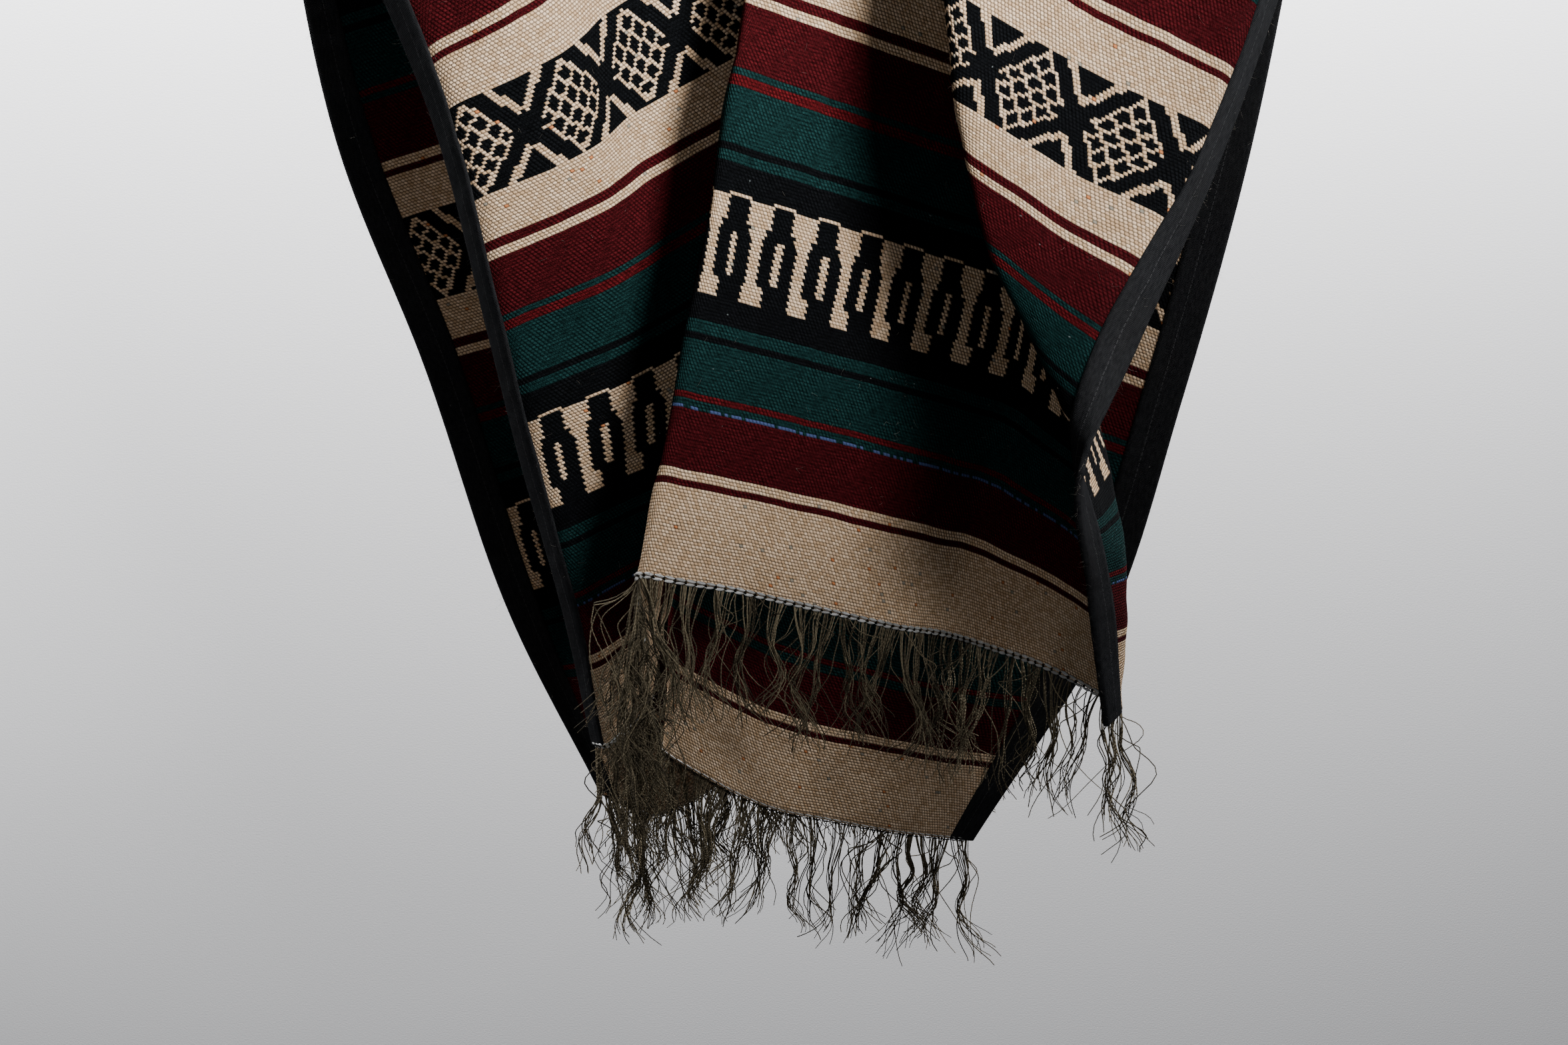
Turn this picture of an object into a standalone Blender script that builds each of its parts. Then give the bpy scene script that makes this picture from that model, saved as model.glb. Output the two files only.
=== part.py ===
"""Fringed poncho on a plain hanger: one woven length hung over the arms, its sides bound with tape.

Metres, +Z up. The origin is the point where the hanger's hook bears. The near panel hangs towards
-Y, the far panel towards +Y, and X runs across the cloth. Cloth places are given as u, measured
across the woven width from the left edge, and r, the share of the way from the shoulder to the hem.
"""

from collections import namedtuple
import math

import bpy
import bmesh
import numpy as np

MM = 0.001

# The woven length
CLOTH_WIDTH = 1.020
MIDDLE = CLOTH_WIDTH / 2
NEAR_DROP = 0.896
FAR_DROP = 1.025
NEAR_EDGE_EXTRA = 0.020
FAR_EDGE_EXTRA = -0.045
CLOTH_THICK = 0.0025
PANEL_GAP = 0.0003

# The neck slit, cut along the warp
SLIT_REACH = 0.150
SLIT_HALF = 0.0035
SLIT_SPREAD = 0.012
SLIT_SPREAD_REACH = 0.110

# The tape that binds the side edges and the slit
TAPE_WIDTH = 0.027
NECK_TAPE_WIDTH = 0.014
TAPE_THICK = 0.0008
TAPE_GAP = 0.0007
TAPE_END_GAP = 0.0005

# The hanger
APEX_Z = -0.075
ARM_HALF_SPAN = 0.215
ARM_SLOPE = math.radians(18)
ARM_RADIUS = 0.0110
ARM_DEPTH = 0.030
SHOULDER_RADIUS = 0.0148
WIRE_RADIUS = 0.002
HOOK_RADIUS = 0.022
HOOK_OPEN_END = math.radians(205)
HOOK_NECK_START = math.radians(-55)

# Beyond the arms the shoulder line sags to its tip at each side edge
TIP_X = 0.375
TIP_Z = -0.290
TIP_RADIUS = 0.026
TIP_LEAN = 0.35
TIP_SWAY = 0.012

# The fringe at each hem
FRINGE_LENGTH = 0.108
STRIP_DEPTH = 0.003
STRIP_THICK = 0.0020
LOCK_PITCH = 0.0125

# A row for each fold, from the left edge to the right. rounding is the half length of the bend, and
# between the number of columns up to the next fold. u, x, y and z are given at each level, in mm.
Fold = namedtuple("Fold", "name rounding between u x y z")

NEAR_LEVELS = (0.0, 0.19, 0.47, 0.62, 0.735, 0.87, 1.0)
NEAR_FOLDS = (
    Fold("left_edge", 0, 2, (0, 0, 0, 0, 0, 0),
         (-318, -224, -204, -185, -165, -144),
         (-85, -140, -122, -100, -78, -50),
         (-438, -656, -777, -877, -993, -1108)),
    Fold("left_swell", 30, 1, (110, 110, 110, 110, 110, 110),
         (-265, -143, -124, -108, -112, -115),
         (-80, -125, -99, -75, -50, -25),
         (-374, -616, -743, -845, -967, -1090)),
    Fold("left_dip", 30, 2, (170, 170, 170, 170, 170, 170),
         (-225, -118, -82, -55, -62, -70),
         (-56, -85, -68, -55, -40, -25),
         (-347, -592, -722, -823, -950, -1075)),
    Fold("tuck", 16, 1, (380, 370, 347, 330, 320, 315),
         (-50, 45, 48, 50, 45, 40),
         (-14, -8, -20, -30, -32, -30),
         (-300, -520, -656, -760, -880, -1000)),
    Fold("front_crest", 12, 1, (510, 510, 510, 510, 510, 510),
         (-10, -27, -48, -65, -86, -111),
         (-50, -100, -117, -130, -137, -140),
         (-238, -481, -611, -711, -826, -941)),
    Fold("centre", 30, 1, (545, 570, 587, 600, 600, 600),
         (16, 24, 17, 11, -11, -33),
         (-36, -73, -82, -89, -96, -100),
         (-245, -500, -635, -739, -853, -968)),
    Fold("centre_back", 30, 1, (575, 620, 660, 690, 705, 720),
         (38, 66, 78, 87, 77, 67),
         (-24, -50, -49, -49, -48, -46),
         (-255, -515, -658, -767, -888, -1010)),
    Fold("deep_valley", 18, 0, (605, 665, 730, 780, 790, 800),
         (58, 104, 137, 162, 140, 118),
         (-16, -30, -20, -15, -16, -22),
         (-262, -529, -678, -795, -912, -1026)),
    Fold("valley_wall", 20, 0, (625, 700, 775, 840, 875, 900),
         (70, 102, 145, 187, 190, 175),
         (-28, -60, -64, -60, -72, -90),
         (-268, -542, -690, -815, -930, -1025)),
    Fold("right_roll", 12, 0, (645, 735, 830, 900, 962, 978),
         (82, 100, 145, 200, 231, 234),
         (-42, -92, -112, -112, -100, -80),
         (-276, -556, -700, -830, -957, -1060)),
    Fold("right_crest", 12, 2, (670, 808, 909, 970, 990, 997),
         (98, 93, 119, 183, 215, 229),
         (-60, -152, -163, -158, -122, -92),
         (-285, -580, -713, -842, -955, -1061)),
    Fold("right_side", 20, 0, (840, 915, 965, 995, 1005, 1008),
         (225, 182, 165, 179, 206, 224),
         (-74, -138, -170, -180, -134, -100),
         (-355, -628, -748, -848, -953, -1062)),
    Fold("right_edge", 0, 0, (1020, 1020, 1020, 1020, 1020, 1020),
         (336, 269, 208, 176, 196, 218),
         (-68, -115, -163, -205, -146, -110),
         (-440, -672, -783, -853, -951, -1063)),
)

FAR_LEVELS = (0.0, 0.19, 0.42, 0.60, 0.80, 1.0)
FAR_FOLDS = (
    Fold("left_edge", 0, 4, (0, 0, 0, 0, 0),
         (-372, -343, -287, -228, -153),
         (45, 50, 45, 40, 40),
         (-440, -673, -834, -1020, -1179)),
    Fold("left_swell", 30, 3, (120, 120, 120, 120, 120),
         (-290, -238, -182, -140, -114),
         (42, 68, 85, 95, 100),
         (-395, -630, -805, -1005, -1230)),
    Fold("left_back", 40, 6, (250, 250, 250, 245, 240),
         (-190, -120, -70, -25, 12),
         (56, 92, 112, 125, 130),
         (-335, -560, -735, -930, -1160)),
    Fold("turn", 20, 5, (440, 425, 410, 385, 360),
         (-5, 70, 98, 135, 160),
         (62, 96, 108, 115, 120),
         (-285, -515, -695, -900, -1122)),
    Fold("front_crest", 20, 5, (600, 630, 640, 680, 700),
         (60, -30, -62, -95, -111),
         (42, 28, 22, 15, 8),
         (-290, -500, -690, -925, -1126)),
    Fold("centre", 40, 4, (720, 760, 780, 800, 805),
         (150, 78, 55, 5, -30),
         (52, 62, 48, 30, 9),
         (-325, -555, -750, -980, -1178)),
    Fold("right_back", 30, 4, (870, 890, 900, 910, 920),
         (262, 208, 172, 122, 76),
         (60, 84, 70, 60, 47),
         (-385, -630, -812, -1025, -1215)),
    Fold("right_edge", 0, 0, (1020, 1020, 1020, 1020, 1020),
         (368, 336, 297, 242, 138),
         (50, 52, 50, 45, 35),
         (-440, -690, -864, -1045, -1217)),
)

# Rows down each panel, closer together where the cloth bends over the arm, in metres
SHOULDER_ROWS = (0.0, 0.009, 0.018, 0.026, 0.036, 0.062, 0.105)
NEAR_ROW_PITCH = 0.044
FAR_ROW_PITCH = 0.068
BLEND_START = 0.17
BLEND_END = 0.30


def clear_scene():
    for item in list(bpy.data.objects):
        bpy.data.objects.remove(item, do_unlink=True)


def material(name, colour, roughness, metallic=0.0):
    made = bpy.data.materials.new(name)
    made.use_nodes = True
    shader = made.node_tree.nodes["Principled BSDF"]
    shader.inputs["Base Color"].default_value = (*colour, 1.0)
    shader.inputs["Roughness"].default_value = roughness
    shader.inputs["Metallic"].default_value = metallic
    return made


def add_object(name, points, faces, finish):
    """One closed mesh object, with its faces turned outward."""
    mesh = bpy.data.meshes.new(name)
    mesh.from_pydata([tuple(float(c) for c in p) for p in points], [], [tuple(f) for f in faces])
    shape = bmesh.new()
    shape.from_mesh(mesh)
    bmesh.ops.recalc_face_normals(shape, faces=shape.faces)
    if shape.calc_volume(signed=True) < 0:
        bmesh.ops.reverse_faces(shape, faces=shape.faces)
    shape.to_mesh(mesh)
    shape.free()
    mesh.shade_smooth()
    mesh.set_sharp_from_angle(angle=math.radians(35))
    mesh.materials.append(finish)
    made = bpy.data.objects.new(name, mesh)
    bpy.context.collection.objects.link(made)
    return made


def hermite(levels, values, at):
    """Smooth values between the levels, with the slopes of their neighbours."""
    levels = np.asarray(levels, float)
    slopes = np.gradient(values, levels, axis=0)
    i = int(np.clip(np.searchsorted(levels, at, side="right") - 1, 0, len(levels) - 2))
    step = levels[i + 1] - levels[i]
    t = (at - levels[i]) / step
    return (
        (2 * t**3 - 3 * t**2 + 1) * values[i]
        + (t**3 - 2 * t**2 + t) * step * slopes[i]
        + (3 * t**2 - 2 * t**3) * values[i + 1]
        + (t**3 - t**2) * step * slopes[i + 1]
    )


def rounded(knots, values, rounding, at):
    """A line through the knots with each corner turned into a soft bend."""
    slopes = np.diff(values) / np.diff(knots)
    gaps = np.diff(knots)
    out = np.interp(at, knots, values)
    for i in range(1, len(knots) - 1):
        half = min(rounding[i], gaps[i - 1] / 2, gaps[i] / 2)
        reach = np.maximum(0.0, half - np.abs(at - knots[i]))
        out = out + (slopes[i] - slopes[i - 1]) * reach**2 / (4 * half)
    return out


def shoulder_line(u):
    """x, y, z and bend radius of the shoulder at u: straight on each arm, sagging past its end."""
    side = np.sign(u - MIDDLE)
    out = np.abs(u - MIDDLE)
    arm = ARM_HALF_SPAN / math.cos(ARM_SLOPE)
    free = MIDDLE - arm
    t = np.clip((out - arm) / free, 0, 1)
    start, end = 2 * t**3 - 3 * t**2 + 1, 3 * t**2 - 2 * t**3
    leave, arrive = (t**3 - 2 * t**2 + t) * free, (t**3 - t**2) * free
    end_z = APEX_Z - arm * math.sin(ARM_SLOPE)
    fall = math.sqrt(1 - TIP_LEAN**2)
    free_x = start * ARM_HALF_SPAN + leave * math.cos(ARM_SLOPE) + end * TIP_X + arrive * TIP_LEAN
    free_z = start * end_z - leave * math.sin(ARM_SLOPE) + end * TIP_Z - arrive * fall
    x = np.where(out <= arm, out * math.cos(ARM_SLOPE), free_x)
    z = np.where(out <= arm, APEX_Z - out * math.sin(ARM_SLOPE), free_z)
    y = TIP_SWAY * np.sin(2 * math.pi * t) * side
    return side * x, y, z, SHOULDER_RADIUS + (TIP_RADIUS - SHOULDER_RADIUS) * t


def fold_places(folds, levels, r):
    """u, x, y and z of every fold at r; the top level lies on the shoulder line."""
    top = np.array([fold.u[0] for fold in folds]) * MM
    x, y, z, _ = shoulder_line(top)
    places = []
    for first, column in ((top, "u"), (x, "x"), (y, "y"), (z, "z")):
        lower = np.array([getattr(fold, column) for fold in folds]).T * MM
        places.append(hermite(levels, np.vstack([first, lower]), r))
    return places


def own_columns(folds, places):
    """Where the mesh's columns run at one row: on the folds, beside the tight ones, and between."""
    knots = places[0]
    columns = [0.0, TAPE_WIDTH]
    for i, fold in enumerate(folds[:-1]):
        if i and fold.rounding <= 20:
            half = fold.rounding * MM
            columns += [knots[i] + half * share for share in (-1, -0.34, 0.34, 1)]
        elif i:
            columns.append(knots[i])
        for k in range(fold.between):
            columns.append(knots[i] + (knots[i + 1] - knots[i]) * (k + 1) / (fold.between + 1))
    columns += [CLOTH_WIDTH - TAPE_WIDTH, CLOTH_WIDTH]
    columns = np.array(columns)
    inner = len(columns) - 2
    for j in range(2, inner):
        room_left = TAPE_WIDTH + 0.004 * (j - 1)
        room_right = CLOTH_WIDTH - TAPE_WIDTH - 0.0035 * (inner - j)
        columns[j] = min(max(columns[j], room_left, columns[j - 1] + 0.003), room_right)
    return columns


def shoulder_columns(count, middle):
    """Columns across the shoulder, with the slit's two edges at the middle pair."""
    left = np.linspace(TAPE_WIDTH, MIDDLE - SLIT_HALF - NECK_TAPE_WIDTH, middle - 2)
    right = np.linspace(MIDDLE + SLIT_HALF + NECK_TAPE_WIDTH, CLOTH_WIDTH - TAPE_WIDTH, count - middle - 2)
    slit = [MIDDLE - SLIT_HALF, MIDDLE + SLIT_HALF]
    return np.concatenate([[0.0], left, slit, right, [CLOTH_WIDTH]])


def panel_rows(drop):
    """r of each row from the shoulder to the hem."""
    lower = drop - SLIT_REACH
    count = round(lower / (NEAR_ROW_PITCH if drop == NEAR_DROP else FAR_ROW_PITCH))
    rows = list(SHOULDER_ROWS) + [SLIT_REACH + lower * k / count for k in range(count + 1)]
    return np.array(rows) / drop


def panel_points(folds, levels, drop, extra, side, middle_columns):
    """Mid points of one panel's rows and columns. side is -1 for the near panel, 1 for the far."""
    points = []
    for r in panel_rows(drop):
        places = fold_places(folds, levels, r)
        own = own_columns(folds, places)
        blend = np.clip((r - BLEND_START) / (BLEND_END - BLEND_START), 0, 1)
        blend = blend * blend * (3 - 2 * blend)
        u = (1 - blend) * shoulder_columns(len(own), middle_columns) + blend * own
        rounding = [fold.rounding * MM for fold in folds]
        fade = (1 - min(1.0, r / 0.4)) ** 2
        shoulder, cut_short = shoulder_line(u), shoulder_line(places[0])
        x, y, z = (
            rounded(places[0], places[k + 1], rounding, u)
            + (shoulder[k] - rounded(places[0], cut_short[k], rounding, u)) * fade
            for k in range(3)
        )
        length = drop + extra * ((u - MIDDLE) / MIDDLE) ** 2
        s = r * length
        radius = shoulder[3]
        turn = np.minimum(s / radius, math.pi / 2)
        y = y + side * radius * np.sin(turn) * fade
        z = z + (np.minimum(s, radius * math.pi / 2) - radius * (1 - np.cos(turn))) * fade
        off = np.abs(u - MIDDLE)
        spread = SLIT_SPREAD * max(0.0, 1 - (r * drop / SLIT_REACH) ** 2)
        x = x + np.sign(u - MIDDLE) * spread * np.maximum(0.0, 1 - off / SLIT_SPREAD_REACH) ** 2
        points.append(np.stack([x, y, z], axis=1))
    return np.array(points)


def grid_normals(points):
    """Unit normals of a grid of points, pointing away from the space between the panels."""
    down = np.gradient(points, axis=0)
    across = np.gradient(points, axis=1)
    normals = np.cross(down, across)
    normals /= np.linalg.norm(normals, axis=2, keepdims=True)
    # Each row leans towards its neighbours, which keeps the wall even where the edge twists
    normals[1:-1] = normals[:-2] + 2 * normals[1:-1] + normals[2:]
    return normals / np.linalg.norm(normals, axis=2, keepdims=True)


def wall(points, normals, kept):
    """Vertices and faces of a closed wall on the grid's kept cells."""
    rows, columns = points.shape[:2]
    half = CLOTH_THICK / 2
    layers = [points + normals * half, points - normals * half]
    used = {}
    vertices = []

    def vertex(layer, i, j):
        key = (layer, i, j)
        if key not in used:
            used[key] = len(vertices)
            vertices.append(layers[layer][i, j])
        return used[key]

    faces = []
    edges = {}
    for i in range(rows - 1):
        for j in range(columns - 1):
            if not kept[i, j]:
                continue
            corners = [(i, j), (i, j + 1), (i + 1, j + 1), (i + 1, j)]
            for half_cell in ((corners[0], corners[1], corners[2]), (corners[0], corners[2], corners[3])):
                faces.append([vertex(0, *c) for c in half_cell])
                faces.append([vertex(1, *c) for c in reversed(half_cell)])
            for a, b in zip(corners, corners[1:] + corners[:1]):
                if (b, a) in edges:
                    del edges[(b, a)]
                else:
                    edges[(a, b)] = True
    for a, b in edges:
        ring = [vertex(0, *b), vertex(0, *a), vertex(1, *a), vertex(1, *b)]
        first = 1 if a < b else 0
        ring = ring[first:] + ring[:first]
        faces += [ring[:3], [ring[0], ring[2], ring[3]]]
    return vertices, faces


def kept_cells(points, drop, middle):
    """Every cell of a panel but those of the slit."""
    kept = np.ones((points.shape[0] - 1, points.shape[1] - 1), bool)
    inside = panel_rows(drop)[1:] * drop <= SLIT_REACH + 1e-6
    kept[inside, middle - 1] = False
    return kept


def tape_section(edge, inner, edge_normal, inner_normal):
    """Ten points round a folded tape: down one face of the cloth, round its edge and up the other."""
    out = (edge - inner) / np.linalg.norm(edge - inner)
    near = CLOTH_THICK / 2 + TAPE_GAP
    far = near + TAPE_THICK
    nose = TAPE_END_GAP + TAPE_THICK
    return [
        inner + inner_normal * near,
        edge + edge_normal * near + out * TAPE_END_GAP,
        edge - edge_normal * near + out * TAPE_END_GAP,
        inner - inner_normal * near,
        inner - inner_normal * far,
        edge - edge_normal * far + out * TAPE_END_GAP,
        edge - edge_normal * near * 0.6 + out * nose,
        edge + edge_normal * near * 0.6 + out * nose,
        edge + edge_normal * far + out * TAPE_END_GAP,
        inner + inner_normal * far,
    ]


def loft(sections):
    """Vertices and faces of an open tube through closed sections."""
    size = len(sections[0])
    vertices = [point for section in sections for point in section]
    faces = []
    for i in range(len(sections) - 1):
        for k in range(size):
            a, b = i * size + k, i * size + (k + 1) % size
            faces.append((a, b, b + size, a + size))
    return vertices, faces, size


def split_like_cloth(faces, size, edge_is_left):
    """Each of a tape's faces cut along the diagonal that the cloth's cell under it has."""
    edge_points = (1, 2, 5, 6, 7, 8)
    halves = []
    for a, b, d, c in faces:
        from_a = a % size == 1 or (a % size in edge_points) == edge_is_left
        if from_a:
            halves += [(a, b, d), (a, d, c)]
        else:
            halves += [(a, b, c), (b, d, c)]
    return halves


def add_tape(name, points, normals, edge_column, inner_column, rows, finish):
    sections = [
        tape_section(points[i, edge_column], points[i, inner_column],
                     normals[i, edge_column], normals[i, inner_column])
        for i in rows
    ]
    vertices, faces, size = loft(sections)
    faces = split_like_cloth(faces, size, edge_column < inner_column)
    # Each end is a U, closed by four quads between its inner and outer points
    for base in (0, (len(sections) - 1) * size):
        faces += [(base, base + 1, base + 8, base + 9), (base + 2, base + 3, base + 4, base + 5)]
        faces += [(base + 1, base + 2, base + 5, base + 6), (base + 1, base + 6, base + 7, base + 8)]
    return add_object(name, vertices, faces, finish)


def lock_path(root, down, seed, length):
    """Centres of a lock's rings: it leaves along the cloth, then hangs, with a small lean."""
    lean = 0.10 * math.sin(1.7 * seed) + 0.06 * math.sin(0.61 * seed + 1.0)
    swing = 0.08 * math.sin(0.9 * seed + 2.0)
    hang = np.array([lean, swing, -1.0])
    hang /= np.linalg.norm(hang)
    first = root + (0.55 * down + 0.45 * hang) * length * 0.35
    second = first + hang * length * 0.35
    third = second + (hang + np.array([-0.8 * lean, 0.5 * swing, 0.0])) * length * 0.30
    return first, second, third


def add_fringe(name, points, normals, finish):
    """A narrow strip under the hem, with each part of its lower face drawn out into a lock."""
    hem, above = points[-1], points[-2]
    along = np.gradient(hem, axis=0)
    along /= np.linalg.norm(along, axis=1, keepdims=True)
    down = hem - above
    down -= along * (down * along).sum(axis=1, keepdims=True)
    down /= np.linalg.norm(down, axis=1, keepdims=True)
    columns = np.arange(len(hem))
    lengths = np.linalg.norm(np.diff(hem, axis=0), axis=1)
    parts = np.maximum(1, np.round(lengths / LOCK_PITCH)).astype(int)
    fine = np.concatenate([k + np.arange(n) / n for k, n in enumerate(parts)] + [[len(hem) - 1]])

    def spread(values):
        return np.stack([np.interp(fine, columns, values[:, c]) for c in range(3)], axis=1)

    hem, down, normal = spread(hem), spread(down), spread(normals[-1])
    half = STRIP_THICK / 2
    top = hem + down * PANEL_GAP
    foot = top + down * STRIP_DEPTH
    sections = [
        [top[i] + normal[i] * half, top[i] - normal[i] * half,
         foot[i] - normal[i] * half, foot[i] + normal[i] * half]
        for i in range(len(fine))
    ]
    vertices, faces, size = loft(sections)
    locks = [i for i, gap in enumerate(np.linalg.norm(np.diff(hem, axis=0), axis=1)) if gap > LOCK_PITCH / 2]
    open_feet = {i * size + 2 for i in locks}
    faces = [face for k, face in enumerate(faces) if k not in open_feet]
    last = (len(sections) - 1) * size
    faces += [(0, 1, 2, 3), (last, last + 1, last + 2, last + 3)]
    for i in locks:
        ring = [i * size + 2, i * size + 3, (i + 1) * size + 3, (i + 1) * size + 2]
        corners = np.array([vertices[k] for k in ring])
        root = corners.mean(axis=0)
        length = FRINGE_LENGTH * (0.92 + 0.12 * math.sin(2.3 * i))
        first, second, tip = lock_path(root, (down[i] + down[i + 1]) / 2, i, length)
        for centre, share in ((first, 0.55), (second, 0.36)):
            base = len(vertices)
            level = (corners - root) * share
            level[:, 2] *= 0.3
            vertices += [centre + point for point in level]
            fresh = [base, base + 1, base + 2, base + 3]
            for k in range(4):
                faces.append((ring[k], ring[(k + 1) % 4], fresh[(k + 1) % 4], fresh[k]))
            ring = fresh
        vertices.append(tip)
        for k in range(4):
            faces.append((ring[k], ring[(k + 1) % 4], len(vertices) - 1))
    return add_object(name, vertices, faces, finish)


def arm_centre_z(x):
    """Height of the middle of the arm's round top at x."""
    top_z = APEX_Z - (SHOULDER_RADIUS - ARM_RADIUS)
    return top_z - ARM_RADIUS / math.cos(ARM_SLOPE) - max(abs(x), 0.006) * math.tan(ARM_SLOPE)


def add_hanger_arms(finish):
    """A bar with a round top and a flat foot, bent at the neck."""
    stations = [-1.0, -0.985, -0.9, -0.5, -0.05, 0.0, 0.05, 0.5, 0.9, 0.985, 1.0]
    sections = []
    for share in stations:
        x = share * (ARM_HALF_SPAN - 0.002)
        small = 0.75 if abs(share) == 1.0 else 1.0
        centre_z = arm_centre_z(x)
        radius = ARM_RADIUS * small
        ring = []
        for k in range(7):
            angle = math.pi * k / 6
            ring.append((x, radius * math.cos(angle), centre_z + radius * math.sin(angle)))
        foot = centre_z - (ARM_DEPTH - ARM_RADIUS) * small
        ring += [(x, -radius, foot + 0.003), (x, -radius + 0.003, foot)]
        ring += [(x, radius - 0.003, foot), (x, radius, foot + 0.003)]
        sections.append([np.array(point) for point in ring])
    vertices, faces, size = loft(sections)
    faces += [tuple(range(size)), tuple(range((len(sections) - 1) * size, len(sections) * size))]
    return add_object("hanger_arms", vertices, faces, finish)


def hook_route():
    """The wire's centre line: up from the neck, then round over the bearing point."""
    centre_z = WIRE_RADIUS - HOOK_RADIUS
    arc_steps = 20
    neck_foot = arm_centre_z(0.0) + ARM_RADIUS + PANEL_GAP
    route = [(0.0, neck_foot), (0.0, neck_foot + 0.015), (0.001, neck_foot + 0.024)]
    for k in range(arc_steps + 1):
        angle = HOOK_NECK_START + (HOOK_OPEN_END - HOOK_NECK_START) * k / arc_steps
        route.append((HOOK_RADIUS * math.cos(angle), centre_z + HOOK_RADIUS * math.sin(angle)))
    return route


def add_hanger_hook(finish):
    curve = bpy.data.curves.new("hanger_hook", "CURVE")
    curve.dimensions = "3D"
    curve.bevel_depth = WIRE_RADIUS
    curve.bevel_resolution = 2
    curve.use_fill_caps = True
    route = hook_route()
    line = curve.splines.new("POLY")
    line.points.add(len(route) - 1)
    for point, (x, z) in zip(line.points, route):
        point.co = (x, 0.0, z, 1.0)
    curve.materials.append(finish)
    made = bpy.data.objects.new("hanger_hook", curve)
    bpy.context.collection.objects.link(made)
    return made


def main():
    clear_scene()
    cloth = material("woven_cloth", (0.21, 0.03, 0.035), 0.9)
    tape = material("black_tape", (0.006, 0.006, 0.006), 0.85)
    yarn = material("fringe_yarn", (0.10, 0.085, 0.06), 0.8)
    wood = material("hanger_wood", (0.45, 0.28, 0.14), 0.5)
    steel = material("hook_steel", (0.6, 0.6, 0.6), 0.3, 1.0)

    columns = len(own_columns(NEAR_FOLDS, fold_places(NEAR_FOLDS, NEAR_LEVELS, 0.5)))
    middle = int(np.searchsorted(own_columns(NEAR_FOLDS, fold_places(NEAR_FOLDS, NEAR_LEVELS, 0.5)), MIDDLE))
    near = panel_points(NEAR_FOLDS, NEAR_LEVELS, NEAR_DROP, NEAR_EDGE_EXTRA, -1, middle)
    far = panel_points(FAR_FOLDS, FAR_LEVELS, FAR_DROP, FAR_EDGE_EXTRA, 1, middle)
    whole = np.concatenate([far[:0:-1], near])
    normals = grid_normals(whole)
    ridge = len(far) - 1

    near_points, near_normals = whole[ridge:].copy(), normals[ridge:]
    far_points, far_normals = whole[:ridge + 1].copy(), normals[:ridge + 1]
    near_points[0, :, 1] -= PANEL_GAP / 2
    far_points[-1, :, 1] += PANEL_GAP / 2
    near_cells = kept_cells(near_points, NEAR_DROP, middle)
    far_cells = kept_cells(far_points, FAR_DROP, middle)[::-1]
    for name, points, normal, cells in (
        ("panel_near", near_points, near_normals, near_cells),
        ("panel_far", far_points, far_normals, far_cells),
    ):
        vertices, faces = wall(points, normal, cells)
        add_object(name, vertices, faces, cloth)

    every = range(len(whole))
    last = columns - 1
    add_tape("binding_left", whole, normals, 0, 1, every, tape)
    add_tape("binding_right", whole, normals, last, last - 1, every, tape)
    far_slit = sum(panel_rows(FAR_DROP) * FAR_DROP <= SLIT_REACH + 1e-6) - 1
    near_slit = sum(panel_rows(NEAR_DROP) * NEAR_DROP <= SLIT_REACH + 1e-6) - 1
    slit = range(ridge - far_slit, ridge + near_slit + 1)
    add_tape("binding_neck_left", whole, normals, middle - 1, middle - 2, slit, tape)
    add_tape("binding_neck_right", whole, normals, middle, middle + 1, slit, tape)

    add_fringe("fringe_near", near_points, near_normals, yarn)
    add_fringe("fringe_far", far_points[::-1], far_normals[::-1], yarn)
    add_hanger_arms(wood)
    add_hanger_hook(steel)


main()
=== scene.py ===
"""Striped woven poncho with a fringe, hung over a plain hanger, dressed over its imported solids.

Metres, +Z up, in the part's own frame. Places on the cloth are u, measured across the woven width
from the left edge, and v, measured up the cloth from the hem. Both are kept as the cloth's UV map,
so that the stripes, motifs and yarns follow every fold.
"""

from collections import namedtuple
import math

import bpy
import numpy as np
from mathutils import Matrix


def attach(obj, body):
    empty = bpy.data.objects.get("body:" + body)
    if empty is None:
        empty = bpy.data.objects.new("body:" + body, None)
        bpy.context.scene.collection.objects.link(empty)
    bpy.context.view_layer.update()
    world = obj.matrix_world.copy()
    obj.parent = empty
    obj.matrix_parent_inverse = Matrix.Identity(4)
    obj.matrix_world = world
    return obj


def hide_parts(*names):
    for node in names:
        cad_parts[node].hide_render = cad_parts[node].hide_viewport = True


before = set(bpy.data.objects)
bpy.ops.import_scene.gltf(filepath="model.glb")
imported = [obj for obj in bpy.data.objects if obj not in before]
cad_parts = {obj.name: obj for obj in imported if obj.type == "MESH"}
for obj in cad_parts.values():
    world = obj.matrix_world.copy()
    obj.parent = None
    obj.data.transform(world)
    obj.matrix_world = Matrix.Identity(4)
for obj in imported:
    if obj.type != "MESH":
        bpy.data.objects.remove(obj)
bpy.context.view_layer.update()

bl_info = {
    "name": "Fringed poncho",
    "version": (1, 0, 0),
    "blender": (4, 5, 0),
    "location": "3D View > Sidebar > Poncho",
    "description": "Builds a striped woven poncho with a fringe, on a hanger",
    "category": "Add Mesh",
}

MM = 0.001
BODY = "root"

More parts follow.
